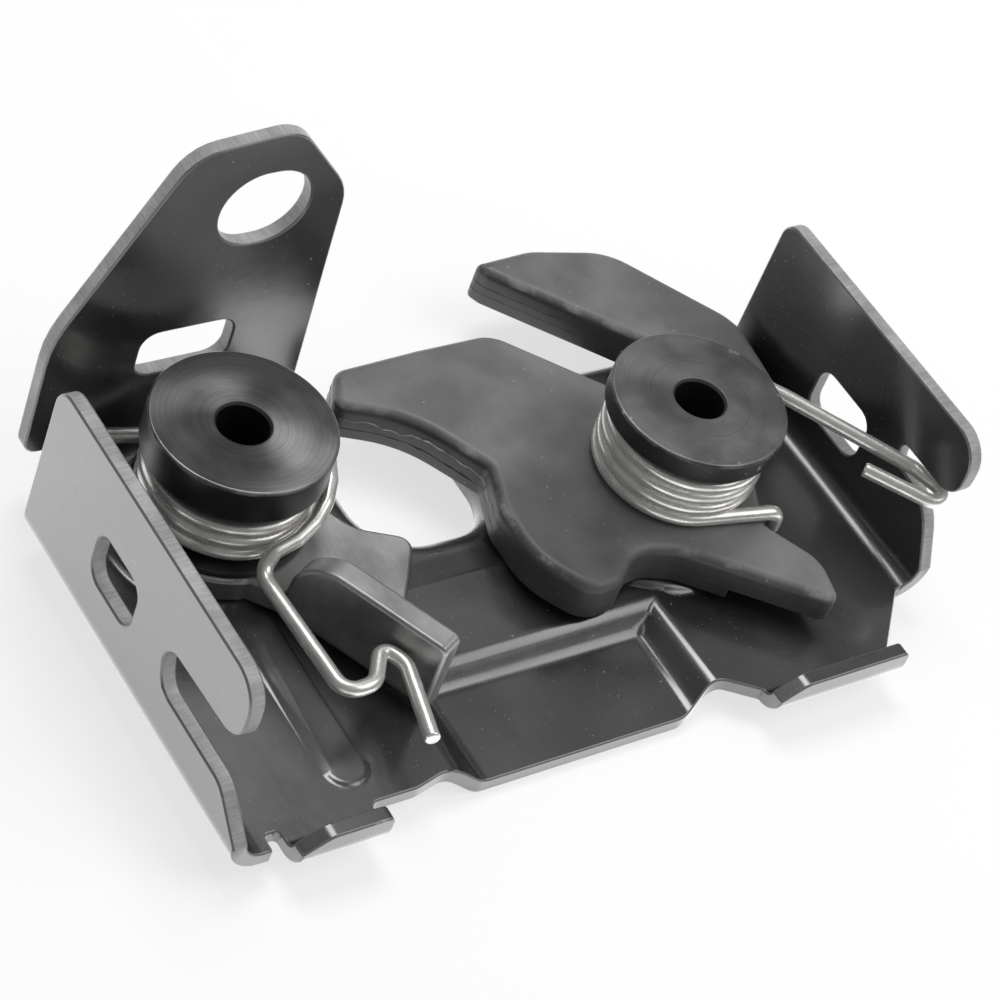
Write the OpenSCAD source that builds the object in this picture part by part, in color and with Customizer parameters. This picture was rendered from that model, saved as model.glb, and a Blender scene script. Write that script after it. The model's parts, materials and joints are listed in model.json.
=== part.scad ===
// Bonnet latch: a folded plate that carries a turning claw and a sprung pawl.
// Millimetres. The claw's pivot axis is X = 0, Y = 0; +Y is the side where the striker comes in.
// The part rests on Z = 0; the pivots stand up along +Z.

/* [Sheet] */
// Thickness of the folded plate
sheet_t = 2.3; // [1.8:0.1:2.8]
// Inside radius of the flange and ear folds
fold_r = 3; // [2:0.25:3.5]
// Inside radius of the small lips and rolled rims
roll_r = 1.5; // [1:0.25:2]
// Depth of the pressed tray and of the rolled rims under the floor
tray_depth = 3; // [2.6:0.1:4]
// Height of the pressed seats under the claw and the pawl
seat_h = 0.9; // [0.6:0.1:1.2]

/* [Plate] */
// Width over both side flanges
plate_w = 123.4; // [120:0.2:130]
// Claw axis to the inner face of the right flange
claw_side = 30.3; // [30:0.1:34]
// Claw axis forward to the front edge of the floor
front_reach = 34; // [33:0.5:38]
// Claw axis back to the rolled rear edge
rear_reach = 28; // [26:0.5:32]
// Claw axis back to the ear's front face
ear_reach = 31.5; // [30:0.5:36]
// Height of the side flanges from the underside of the floor
flange_h = 29.8; // [28:0.1:34]
// Claw axis back to the rear edge of the side flanges
flange_back = 23; // [20:0.5:24]
// Height of the front lips from the underside of the floor
lip_h = 6.1; // [5:0.1:8]

/* [Ear] */
// Height of the ear's top from the underside of the floor
ear_h = 57.9; // [56:0.1:62]
// Width of the bolt hole, across its flats
ear_hole_w = 12.4; // [9:0.2:13]
// Length of the bolt hole, end to end
ear_hole_l = 13.8; // [13.2:0.2:16]
// Width of the locating window
window_w = 14.4; // [10:0.2:16]
// Height of the locating window
window_h = 7.8; // [6:0.2:9]

/* [Striker notch] */
// Width of the notch that the striker enters
notch_w = 20.5; // [17:0.5:22]
// Claw axis to the middle of the notch
notch_x = 33.65; // [32:0.05:35]
// Corner radius of the notch
notch_r = 8; // [6:0.5:8]
// Distance of the notch's front wall behind the claw axis
notch_front = 4.8; // [4:0.1:6]

/* [Pivots] */
// Pawl axis to the inner face of the left flange
pawl_side = 22.1; // [20:0.1:24]
// Distance of the pawl pivot behind the claw pivot
pivot_dy = 14.5; // [13:0.1:16]
// Diameter of the flat heads
head_d = 26; // [25:0.2:28]
// Gap between a coil and the head above it
head_gap = 0.3; // [0.2:0.05:0.6]
// Diameter of the neck inside the springs
neck_d = 19.4; // [18:0.2:20]
// Diameter of the shank that the claw and the pawl turn on
shank_d = 12; // [11:0.2:13]
// Diameter of the hole through the pivots
hole_d = 7.3; // [6:0.1:8]
// Height of the heads' top above the floor
pivot_h = 21.7; // [21:0.1:24]
// Diameter of the riveted tails
tail_d = 17; // [15:0.5:20]

/* [Claw and pawl] */
// Thickness of the claw
claw_t = 6.6; // [6:0.1:7.2]
// Thickness of the claw's tail
claw_tail_t = 4.6; // [3.5:0.1:5.5]
// Width of the claw's striker slot
claw_slot_w = 12; // [9:0.5:13]
// Thickness of the pawl plate
pawl_t = 4; // [3:0.1:4.4]
// Reach of the pawl's nose towards the claw, from the pawl's axis
nose_reach = 24.2; // [22:0.1:25]
// Least gap between the pawl's nose and the claw's lobe at rest
nose_gap = 2; // [1:0.1:4]
// Radius of the claw's lobe about its axis
lobe_r = 29.3; // [27:0.1:31]
// Height of the pawl's upright tab
tab_h = 12.7; // [10:0.1:14]
// Diameter of the pawl's hub
pawl_hub_d = 27; // [25:0.5:29]
// Diameter of the washer on the pawl
washer_d = 25.6; // [24:0.2:27]

/* [Springs] */
// Wire diameter of both springs
wire_d = 2.2; // [1.8:0.1:2.4]
// Gap between the turns
turn_gap = 0.05; // [0.02:0.01:0.1]
// Gap between a neck and its coil
coil_gap = 0.3; // [0.2:0.05:0.5]

/* [Fits] */
// Gap between faces that slide on each other
slide_gap = 0.1; // [0.05:0.05:0.2]
// Running clearance of a bore on its shank, on the radius
bore_gap = 0.06; // [0.03:0.01:0.1]

/* [Hidden] */
$fn = 96;
step_deg = 12;
eps = 0.01;

// Levels, from the surface that the part rests on
floor_z = tray_depth;
top_z = floor_z + sheet_t;
seat_z = top_z + seat_h;
claw_z = seat_z + slide_gap;
claw_top = claw_z + claw_t;
pawl_top = claw_z + pawl_t;
head_z = top_z + pivot_h;
flange_z = floor_z + flange_h;
wire_r = wire_d / 2;
turn_rise = wire_d + turn_gap;
coil_r = neck_d / 2 + coil_gap + wire_r;

// Coils: angle that each winds through, level of its lowest turn, and underside of the head above it
claw_sweep = 1230;
pawl_sweep = 1080;
washer_t = 0.8;
washer_z = pawl_top + slide_gap;
claw_coil_z = claw_top + slide_gap + wire_r;
pawl_coil_z = washer_z + washer_t + slide_gap + wire_r;
claw_under = claw_coil_z + turn_rise * claw_sweep / 360 + wire_r + 0.25 + head_gap;
pawl_under = pawl_coil_z + turn_rise * pawl_sweep / 360 + wire_r + 0.75 + head_gap;

// Plan positions
pivot_dx = plate_w - 2 * sheet_t - claw_side - pawl_side;
right_in = claw_side;
right_out = right_in + sheet_t;
left_out = right_out - plate_w;
left_in = left_out + sheet_t;
front_y = -front_reach;
notch_left = -notch_x - notch_w / 2;
notch_right = -notch_x + notch_w / 2;
roll_out = roll_r + sheet_t;
fold_out = fold_r + sheet_t;
pawl_at = [-pivot_dx, pivot_dy];

// Unit vector along v
function unit(v) = v / norm(v);

// Point b of a closed outline as an arc that touches its two sides, of radius r_max where there is room
function corner(a, b, c, r_max) =
  let (to_a = [a.x - b.x, a.y - b.y], to_c = [c.x - b.x, c.y - b.y], u = unit(to_a), v = unit(to_c))
  let (half = acos(max(-1, min(1, u * v))) / 2)
  let (r = min(r_max, tan(half) * min(norm(to_a), norm(to_c)) / 2))
  let (mid = [b.x, b.y] + unit(u + v) * r / sin(half))
  let (from = [b.x, b.y] + u * r / tan(half) - mid)
  let (turn = (u.x * v.y - u.y * v.x > 0 ? -1 : 1) * (180 - 2 * half))
  let (steps = ceil(abs(turn) / step_deg), start = atan2(from.y, from.x))
  [for (i = [0 : steps]) mid + r * [cos(start + turn * i / steps), sin(start + turn * i / steps)]];

// Points of a closed outline without the ones that fall on their neighbour
function spaced(p) = [for (i = [0 : len(p) - 1]) if (norm(p[i] - p[(i + len(p) - 1) % len(p)]) > 0.05) p[i]];

// Closed outline from corners written [x, y, radius]
function rounded(p) = spaced(
  [for (i = [0 : len(p) - 1])
    each p[i].z > 0
      ? corner(p[(i + len(p) - 1) % len(p)], p[i], p[(i + 1) % len(p)], p[i].z)
      : [[p[i].x, p[i].y]]]);

// Bend of radius r at corner b of a wire, as points from side a to side c
function bend(a, b, c, r) =
  let (u = unit(a - b), v = unit(c - b), half = acos(max(-1, min(1, u * v))) / 2)
  let (mid = b + unit(u + v) * r / sin(half), reach = r / tan(half))
  let (p = b + u * reach - mid, q = b + v * reach - mid)
  let (sweep = 180 - 2 * half, steps = ceil(sweep / 18))
  [for (i = [0 : steps]) mid + (p * sin(sweep * (1 - i / steps)) + q * sin(sweep * i / steps)) / sin(sweep)];

// Wire route through points, bent at radius r at each inner one
function bent(p, r) =
  concat([p[0]], [for (i = [1 : len(p) - 2]) each bend(p[i - 1], p[i], p[i + 1], r)], [p[len(p) - 1]]);

// Round wire along a route of points
module wire(route, d, sides = 10) {
  last = len(route) - 1;
  ways = [for (i = [0 : last]) unit(route[min(i + 1, last)] - route[max(i - 1, 0)])];
  first = unit(cross(ways[0], abs(ways[0].z) > 0.9 ? [1, 0, 0] : [0, 0, 1]));
  sides_dir = [for (i = 0, n = first; i <= last;
                    i = i + 1, n = i > last ? n : unit(n - (n * ways[min(i, last)]) * ways[min(i, last)])) n];
  points = [for (i = [0 : last]) for (k = [0 : sides - 1])
    route[i] + d / 2 * (cos(360 * k / sides) * sides_dir[i]
                        + sin(360 * k / sides) * cross(ways[i], sides_dir[i]))];
  walls = [for (i = [0 : last - 1]) for (k = [0 : sides - 1])
    let (a = i * sides + k, b = i * sides + (k + 1) % sides) [a, a + sides, b + sides, b]];
  ends = [[for (k = [0 : sides - 1]) k], [for (k = [sides - 1 : -1 : 0]) last * sides + k]];
  polyhedron(points, concat(walls, ends), convexity = 12);
}

// Quarter ring in the first quadrant
module quarter_ring(inner, outer) {
  intersection() {
    difference() {
      circle(outer);
      circle(inner);
    }
    square(outer);
  }
}

// Sheet that stands along Y, drawn in Y and Z, between x and x + sheet_t
module wall_along_y(x) {
  translate([x, 0, 0]) rotate([90, 0, 90]) linear_extrude(sheet_t) children();
}

// Sheet that stands along X, drawn in X and Z, between y and y + sheet_t
module wall_along_x(y) {
  translate([0, y + sheet_t, 0]) rotate([90, 0, 0]) linear_extrude(sheet_t) children();
}

// Section of a rolled rim: the floor turns down at x = 0, the floor lies towards +X
module rim_section() {
  translate([roll_out, top_z - roll_out]) mirror([1, 0]) quarter_ring(roll_r, roll_out);
  square([sheet_t, top_z - roll_out]);
}

// Straight rolled rim from y0 to y1, floor on its +X side
module rim_run(y0, y1) {
  translate([0, y1, 0]) rotate([90, 0, 0]) linear_extrude(y1 - y0) rim_section();
}

// Rolled rim round an inside corner of radius notch_r, over a quarter turn
module rim_inside_corner() {
  rotate_extrude(angle = 90) translate([notch_r, 0]) rim_section();
}

// Rolled rim round an outside corner, over a quarter turn
module rim_outside_corner(radius) {
  rotate_extrude(angle = 90) translate([radius, 0]) mirror([1, 0]) rim_section();
}

// Rear corner of the floor beside the notch
rear_corner_r = roll_out + 2.2;
rear_corner = [notch_right + rear_corner_r, rear_reach - rear_corner_r];
rear_end = right_in - fold_r;

module rims() {
  translate([notch_left, 0, 0]) mirror([1, 0, 0]) rim_run(notch_front + notch_r, ear_reach - fold_r);
  translate([notch_left + notch_r, notch_front + notch_r, 0]) rotate(180) rim_inside_corner();
  translate([notch_left + notch_r, notch_front, 0]) rotate(-90) rim_run(0, notch_w - 2 * notch_r);
  translate([notch_right - notch_r, notch_front + notch_r, 0]) rotate(-90) rim_inside_corner();
  translate([notch_right, 0, 0]) rim_run(notch_front + notch_r, rear_corner.y);
  translate([rear_corner.x, rear_corner.y, 0]) rotate(90) rim_outside_corner(rear_corner_r);
  translate([rear_corner.x, rear_reach, 0]) rotate(-90) rim_run(0, rear_end - rear_corner.x);
}

// Lips along the front edge: left and right end of each
left_lip = [left_in + fold_r + 3.6, left_in + fold_r + 17.1];
right_lip = [claw_side - 34.5, claw_side - 11.7];
lip_front = front_y - 1.2;
lip_rise = lip_h - roll_out;
lip_slant = 4;

module lip(span) {
  translate([span[0], lip_front, 0]) rotate([90, 0, 90]) linear_extrude(span[1] - span[0])
    translate([0, floor_z + roll_out]) mirror([1, 0]) mirror([0, 1]) quarter_ring(roll_r, roll_out);
  wall_along_x(lip_front - roll_out) polygon(rounded([
    [span[0], floor_z + roll_out, 0], [span[1], floor_z + roll_out, 0],
    [span[1], floor_z + lip_h, 1.5], [span[0] + lip_slant, floor_z + lip_h, 3]]));
}

// Plan of the flat floor inside the folds and rims
left_flange_front = front_y - 2;
right_flange_front = front_y + 8;
tray = [left_out + 42.1, right_out - 48];
module floor_plan() {
  left = left_in + fold_r;
  right = rear_end;
  relief = front_y + 0.6;
  ear_fold = ear_reach - fold_r;
  polygon(rounded([
    [left, left_flange_front, 0], [left + 1.4, left_flange_front, 0],
    [left + 1.4, relief, 0.6], [left_lip[0], relief, 0.6],
    [left_lip[0], lip_front, 0], [left_lip[1], lip_front, 0],
    [left_lip[1] + 0.6, front_y + 0.4, 1.2], [tray[0] - 12, front_y + 0.4, 5],
    [tray[0] - 7.4, front_y + 1.5, 4], [tray[0] - 1.5, front_y, 4],
    [tray[1] - 0.6, front_y, 5], [tray[1] + 5.6, front_y + 3, 3.6],
    [right_lip[0], lip_front, 0], [right_lip[1], lip_front, 0],
    [right, right_flange_front, 2], [right, rear_reach - roll_out, 0],
    [notch_right + roll_out, rear_reach - roll_out, rear_corner_r - roll_out],
    [notch_right + roll_out, notch_front - roll_out, notch_r + roll_out],
    [notch_left - roll_out, notch_front - roll_out, notch_r + roll_out],
    [notch_left - roll_out, ear_fold, 0], [left + 3, ear_fold, 0],
    [left + 3, flange_back + 2, 2], [left, flange_back, 0]]));
}

// Pressed tray at the front: ends of its flat floor, and run of its left, right and back walls
tray_back = front_y + 14;
tray_run = [6.5, 6, 5];

// Smooth step from [a, za] to [b, zb], level at both ends
function soft_step(a, b, za, zb, n = 8) =
  [for (i = [0 : n]) [a + (b - a) * i / n, za + (zb - za) * (1 - cos(180 * i / n)) / 2]];

// Space of the tray down to depth d below a level, widened by grow on every wall, open upwards
module tray_space(level, d, grow) {
  left = tray[0] - grow;
  right = tray[1] + grow;
  back = tray_back + grow;
  over = level + sheet_t - 0.3;
  intersection() {
    translate([0, back + tray_run[2], 0]) rotate([90, 0, 0])
      linear_extrude(back + tray_run[2] - front_y + 1) polygon(concat(
        [[right + tray_run[1], over], [left - tray_run[0], over]],
        soft_step(left - tray_run[0], left, level, level - d),
        soft_step(right, right + tray_run[1], level - d, level)));
    translate([left - tray_run[0], 0, 0]) rotate([90, 0, 90])
      linear_extrude(right - left + tray_run[0] + tray_run[1]) polygon(concat(
        [[back + tray_run[2], over], [front_y - 1, over], [front_y - 1, level - d]],
        soft_step(back, back + tray_run[2], level - d, level)));
  }
}

// Raised seats that the claw and the pawl slide on, the long bead in front of the pawl, and the
// ridge across the floor in front of the notch
seat_slope = 1.2;
claw_seat_r = 16.4;
pawl_seat_r = 14;
bead_x = -2.2;
bead_w = 6;
bead_front = 45;
ridge_y = -4.2;
ridge_run = 5;
module seats() {
  foot = bead_w / 2 + seat_slope / 2;
  crest = bead_w / 2 - seat_slope / 2;
  rise = seat_h + eps;
  bead_rise = seat_h * 0.6 + eps;
  translate([0, 0, top_z - eps]) {
    cylinder(h = rise, r1 = claw_seat_r + seat_slope, r2 = claw_seat_r);
    translate([pawl_at.x, pawl_at.y, 0])
      cylinder(h = rise, r1 = pawl_seat_r + seat_slope, r2 = pawl_seat_r);
    translate([pawl_at.x + bead_x, pawl_at.y - bead_front + bead_w / 2, 0]) {
      cylinder(h = bead_rise, r1 = foot, r2 = crest);
      rotate([90, 0, 180]) linear_extrude(bead_front - bead_w / 2)
        polygon([[-foot, 0], [foot, 0], [crest, bead_rise], [-crest, bead_rise]]);
    }
    translate([pawl_at.x + 6, ridge_y, 0]) rotate([90, 0, 90]) linear_extrude(pivot_dx - 22)
      polygon([[-ridge_run, 0], [-0.9, rise * 0.72], [-0.3, rise],
               [0.3, rise], [0.9, rise * 0.72], [ridge_run, 0]]);
  }
}

// Side flanges in Y and Z: a long arm above a notch, with a window behind it
arm_h = 10.5;
left_arm_front = -30.6;
right_arm_front = -25.2;
left_notch_back = -11.6;
right_notch_back = -13;
module flange_fold(front, back) {
  translate([0, back, 0]) rotate([90, 0, 0]) linear_extrude(back - front)
    translate([fold_out, floor_z + fold_out]) mirror([1, 0]) mirror([0, 1]) quarter_ring(fold_r, fold_out);
}

module left_flange() {
  translate([left_out, 0, 0]) flange_fold(left_flange_front, flange_back);
  low = floor_z + 11;
  wall_along_y(left_out) difference() {
    polygon(rounded([
      [flange_back, floor_z + fold_out, 0], [flange_back - 0.4, flange_z, 3.5],
      [left_arm_front, flange_z, 5], [left_arm_front, flange_z - arm_h, 4],
      [left_notch_back, flange_z - arm_h - 1, 3.2], [left_notch_back - 2, low, 3],
      [left_arm_front + 1, low, 4], [left_flange_front, floor_z + fold_out, 0]]));
    translate([1, flange_z - 14.6]) flange_window(10.8, 8.4);
  }
}

module right_flange() {
  translate([right_out, 0, 0]) mirror([1, 0, 0]) flange_fold(right_flange_front, flange_back + 1);
  low = flange_z - arm_h - 3.6;
  wall_along_y(right_in) difference() {
    polygon(rounded([
      [flange_back + 1, floor_z + fold_out, 0], [flange_back + 0.6, flange_z, 3],
      [right_arm_front, flange_z, 6], [right_arm_front, flange_z - arm_h, 3.5],
      [right_notch_back, flange_z - arm_h, 1.2], [right_notch_back, low, 1.2],
      [right_arm_front + 3.8, low - 0.8, 7.5], [right_flange_front, floor_z + fold_out, 0]]));
    translate([-0.3, flange_z - 17.5]) flange_window(12, 8.4);
  }
}

// Window with round corners, w wide and h high about its middle
module flange_window(w, h) {
  polygon(rounded([
    [-w / 2, -h / 2, 2.6], [w / 2, -h / 2, 2.6], [w / 2, h / 2, 2.6], [-w / 2, h / 2, 2.6]]));
}

// Ear in X and Z, with its bolt hole and locating window
ear_z = floor_z + ear_h;
ear_left = left_in + 1.4;
ear_right = notch_left - 1.2;
ear_hole = [ear_right - 14.3, ear_z - 13];
ear_window = [ear_right - 20.5, floor_z + 20.8];
ear_fold_span = [left_in + fold_r + 3, notch_left - roll_out];
module ear() {
  translate([ear_fold_span[0], ear_reach - fold_r, floor_z + fold_out]) rotate([90, 0, 90])
    linear_extrude(ear_fold_span[1] - ear_fold_span[0]) mirror([0, 1]) quarter_ring(fold_r, fold_out);
  wall_along_x(ear_reach) difference() {
    polygon(rounded([
      [ear_fold_span[0], floor_z + fold_out, 0], [ear_fold_span[1], floor_z + fold_out, 0],
      [ear_fold_span[1], floor_z + fold_out + 1.5, 0], [ear_right, floor_z + fold_out + 3, 1],
      [ear_right - 1.8, ear_z - 11.9, 9], [ear_right - 11.8, ear_z, 6],
      [ear_left + 14.6, ear_z - 1.4, 7], [ear_left, ear_z - 31.3, 16],
      [ear_left, floor_z + fold_out + 0.6, 3.5], [ear_fold_span[0], floor_z + fold_out + 0.6, 0]]));
    hull_slot(ear_hole, ear_hole_w, ear_hole_l);
    translate(ear_window) flange_window(window_w, window_h);
  }
}

// Slot with round ends, w wide and l long, about a middle
module hull_slot(at, w, l) {
  translate(at) {
    square([l - w, w], center = true);
    for (side = [-1, 1]) translate([side * (l - w) / 2, 0]) circle(w / 2);
  }
}

module base_plate() {
  color("#2b2d30") difference() {
    union() {
      translate([0, 0, floor_z]) linear_extrude(sheet_t) floor_plan();
      intersection() {
        tray_space(floor_z + eps, tray_depth + eps, sheet_t * 0.35);
        linear_extrude(top_z) floor_plan();
      }
      seats();
      rims();
      lip(left_lip);
      lip(right_lip);
      left_flange();
      right_flange();
      ear();
    }
    tray_space(top_z + eps, tray_depth + eps, 0);
    for (at = [[0, 0], pawl_at])
      translate([at.x, at.y, -1]) cylinder(h = seat_z + 2, r = shank_d / 2 + bore_gap);
  }
}

// Turned pivot: flat drum head, neck for the coil, shank, riveted tail, hole right through
module pivot(shoulder_z, under_z) {
  chamfer = 0.5;
  rotate_extrude() polygon([
    [hole_d / 2, 0], [tail_d / 2 - 2, 0], [tail_d / 2, floor_z - 1.2], [tail_d / 2, floor_z],
    [shank_d / 2, floor_z], [shank_d / 2, shoulder_z], [neck_d / 2, shoulder_z],
    [neck_d / 2, under_z], [head_d / 2, under_z],
    [head_d / 2, head_z - chamfer], [head_d / 2 - chamfer, head_z],
    [hole_d / 2 + chamfer, head_z], [hole_d / 2, head_z - chamfer]]);
}

module claw_pivot() {
  color("#242527") pivot(claw_top + slide_gap, claw_under);
}

module pawl_pivot() {
  color("#2a2b2d") translate([pawl_at.x, pawl_at.y, 0]) pivot(pawl_top + slide_gap, pawl_under);
}

// Claw: the two fingers hold the striker between them, the tail takes the spring
slot_angle = 49;
slot_way = [cos(slot_angle), -sin(slot_angle)];
slot_side = [sin(slot_angle), cos(slot_angle)];
slot_end = [7.3, 18.7];
slot_half = claw_slot_w / 2;
function slot_point(across, along) = slot_end + across * slot_side + along * slot_way;
claw_reach_x = claw_side - 1.2;
module claw_plan() {
  far = slot_point(slot_half, slot_half);
  near = slot_point(-slot_half, slot_half);
  rear_tip = slot_point(slot_half, -25.9);
  front_mouth = slot_point(-slot_half, -22.1);
  polygon(rounded([
    [10.9, -30.4, 1.2], [13, -22, 7], [8.4, -13.6, 2.5], [13.5, -3, 6], [claw_reach_x - 2, 8, 6],
    [claw_reach_x, 23, 9], [16.6, 42, 10], [4, 45.4, 8], [-6.4, 45, 1.5], [rear_tip.x, rear_tip.y, 0.8],
    [far.x, far.y, slot_half], [near.x, near.y, slot_half],
    [front_mouth.x, front_mouth.y, 6], [-24, 31.6, 30], [-38.6, 31.2, 2.5], [-42.4, 24.9, 2],
    [-32.8, 19.8, 18], [-26.2, 8.2, 1], [0.3 - lobe_r, 0.5, 5], [-lobe_r, -9, 14], [-24.2, -16.9, 6],
    [-19, -16.6, 4], [-13.4, -12, 6], [-7, -14.4, 8]]));
}

// Part of the claw's plan where the tail is thinner, relieved from below
claw_tail = [[-4, -34], [20, -34], [20, -14], [7, -18], [-0.5, -18]];
module claw() {
  color("#1f2022") difference() {
    translate([0, 0, claw_z]) linear_extrude(claw_t) claw_plan();
    translate([0, 0, claw_z - 1]) cylinder(h = claw_t + 2, r = shank_d / 2 + bore_gap);
    translate([0, 0, claw_z - 1]) linear_extrude(claw_t - claw_tail_t + 1) polygon(claw_tail);
  }
}

// Pawl: a flat plate with a nose for the claw's long finger and an upright tab along its front
tab_way = [0.446, -0.895];
tab_out = [-0.895, -0.446];
tab_foot = [8.4, -31.5];
tab_from = -16.2;
tab_to = 7.5;
tab_round = 8;
function tab_point(along, across) = tab_foot + along * tab_way - across * tab_out;

module pawl_plan() {
  hub_r = pawl_hub_d / 2;
  back = tab_point(tab_from + 1, pawl_t);
  low = tab_point(0, pawl_t - 0.5);
  front = tab_point(tab_from + 1, 0.5);
  nose = min(nose_reach, pivot_dx - lobe_r - nose_gap);
  circle(hub_r);
  polygon(rounded([
    [2, hub_r - 1, 0], [12, 4, 0], [14.6, -4.6, 0], [16.8, -9, 6], [nose, -13.2, 2.2], [20, -19.3, 8],
    [low.x, low.y, 0], [front.x, front.y, 0], [-hub_r + 2, -3, 0]]));
}

// Upright tab: bent section along the fold, its upper corner round
module tab() {
  out_r = pawl_t - 0.4;
  z1 = claw_z + tab_h;
  turn = atan2(tab_way.y, tab_way.x);
  translate([tab_foot.x, tab_foot.y, 0]) rotate(turn) intersection() {
    translate([tab_from - 1, 0, 0]) rotate([90, 0, 90]) linear_extrude(tab_to - tab_from + 2) polygon(rounded([
      [0, claw_z, out_r], [pawl_t, claw_z, 0], [pawl_t, z1, 0], [0, z1, 0]]));
    translate([0, 20, 0]) rotate([90, 0, 0]) linear_extrude(40) polygon(rounded([
      [tab_from, claw_z - 1, 0], [tab_to, claw_z - 1, 0], [tab_to, z1, 1.2], [tab_from, z1, tab_round]]));
  }
}

module pawl() {
  color("#6d6f70") translate([pawl_at.x, pawl_at.y, 0]) difference() {
    union() {
      translate([0, 0, claw_z]) linear_extrude(pawl_t) pawl_plan();
      tab();
    }
    translate([0, 0, claw_z - 1]) cylinder(h = pawl_t + 2, r = shank_d / 2 + bore_gap);
  }
}

// Thin washer between the pawl and its coil
module pawl_washer() {
  color("#222325") translate([pawl_at.x, pawl_at.y, washer_z]) difference() {
    cylinder(h = washer_t, d = washer_d);
    translate([0, 0, -1]) cylinder(h = washer_t + 2, r = neck_d / 2 + slide_gap);
  }
}

// Points on a coil about the Z axis: angles from a0, turning clockwise, rising from z0
coil_step = 15;
function coil(a0, sweep, z0, r0) =
  [for (s = [0 : coil_step : sweep]) [r0 * cos(a0 - s), r0 * sin(a0 - s), z0 + turn_rise * s / 360]];

module claw_spring() {
  z0 = claw_coil_z;
  a0 = -101;
  sweep = claw_sweep;
  z1 = z0 + turn_rise * sweep / 360;
  leg_z = flange_z - arm_h - 1.8;
  foot = coil_r * [cos(a0), sin(a0)];
  run = [-sin(a0), cos(a0)];
  hook = right_in + 1.4;
  leg_l = 12.7;
  low_leg = bent([[foot.x + leg_l * run.x, foot.y + leg_l * run.y, z0 - 3.2],
                  [foot.x + leg_l * run.x, foot.y + leg_l * run.y, z0],
                  [foot.x + 2 * run.x, foot.y + 2 * run.y, z0]], 1.6);
  out = coil(a0 - sweep - coil_step, 60, z1, coil_r);
  swell = [for (i = [0 : len(out) - 1])
    let (grow = 1 + 0.30 * (i + 1) / len(out)) [out[i].x * grow, out[i].y * grow, z1 + 0.05 * i]];
  top_leg = bent([swell[len(swell) - 1], [18.2, 0.6, z1 - 0.2],
                  [hook - 1.2, right_notch_back - 3.6, leg_z], [hook + 0.6, right_notch_back - 9, leg_z],
                  [hook - 2.4, right_notch_back - 10.6, leg_z], [hook - 9, right_notch_back - 1.6, leg_z]], 2);
  color("#c9cacb") wire(concat(low_leg, coil(a0, sweep, z0, coil_r), swell,
                               [for (i = [1 : len(top_leg) - 1]) top_leg[i]]), wire_d);
}

module pawl_spring() {
  z0 = pawl_coil_z;
  a0 = 74;
  sweep = pawl_sweep;
  z1 = z0 + turn_rise * sweep / 360;
  start = coil_r * [cos(a0), sin(a0)];
  ear_y = ear_reach - pivot_dy - wire_r - slide_gap;
  leg_z = claw_z + tab_h - 4.8;
  fixed_leg = [[start.x - 18, ear_y, z0], [start.x - 6, start.y + (ear_y - start.y) * 0.35, z0]];
  over_r = coil_r + wire_d + 0.15;
  over = [for (i = [1 : 6])
    let (a = a0 - i * coil_step, r = coil_r + (over_r - coil_r) * i / 6) [r * cos(a), r * sin(a), z1 + 0.12 * i]];
  down = [for (i = [1 : 5])
    let (a = a0 - 90 - i * coil_step, r = over_r + 0.1 * i)
    [r * cos(a), r * sin(a), z1 + 0.7 + (leg_z - z1 + 1.4) * i / 5]];
  touch = tab_point(-0.9, -wire_r - 0.15);
  slip = tab_point(3.2, -wire_r - 0.15);
  leg = bent([down[4], [-2.6, -15.4, leg_z], [-1.8, -36.8, leg_z], [3, -36.6, leg_z],
              [touch.x, touch.y, leg_z], [slip.x, slip.y, leg_z],
              [5.6, -47, leg_z]], 1.6);
  color("#c9cacb") translate([pawl_at.x, pawl_at.y, 0])
    wire(concat(fixed_leg, coil(a0, sweep, z0, coil_r), over, down, [for (i = [1 : len(leg) - 1]) leg[i]]), wire_d);
}

base_plate();
claw_pivot();
pawl_pivot();
claw();
pawl();
claw_spring();
pawl_spring();
pawl_washer();
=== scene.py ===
"""Bonnet latch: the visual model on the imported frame, a plain studio and the photograph's camera.

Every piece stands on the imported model. Sheet and plate pieces are merged copies of the CAD meshes
with rounded edges; turned, coiled and moulded pieces are numpy surfaces. Shapes are worked out in
millimetres and put into their meshes in metres.
"""

import json
import logging
import math
from collections import Counter
from dataclasses import dataclass
from enum import Enum
from typing import ClassVar, Optional, Sequence, Union

import bmesh
import bpy
import numpy as np
from bmesh.types import BMEdge, BMesh
from bpy.types import ID, Material, Node, NodeSocket, NodeTree, Object
from mathutils import Matrix, Vector
from mathutils.geometry import tessellate_polygon

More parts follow.
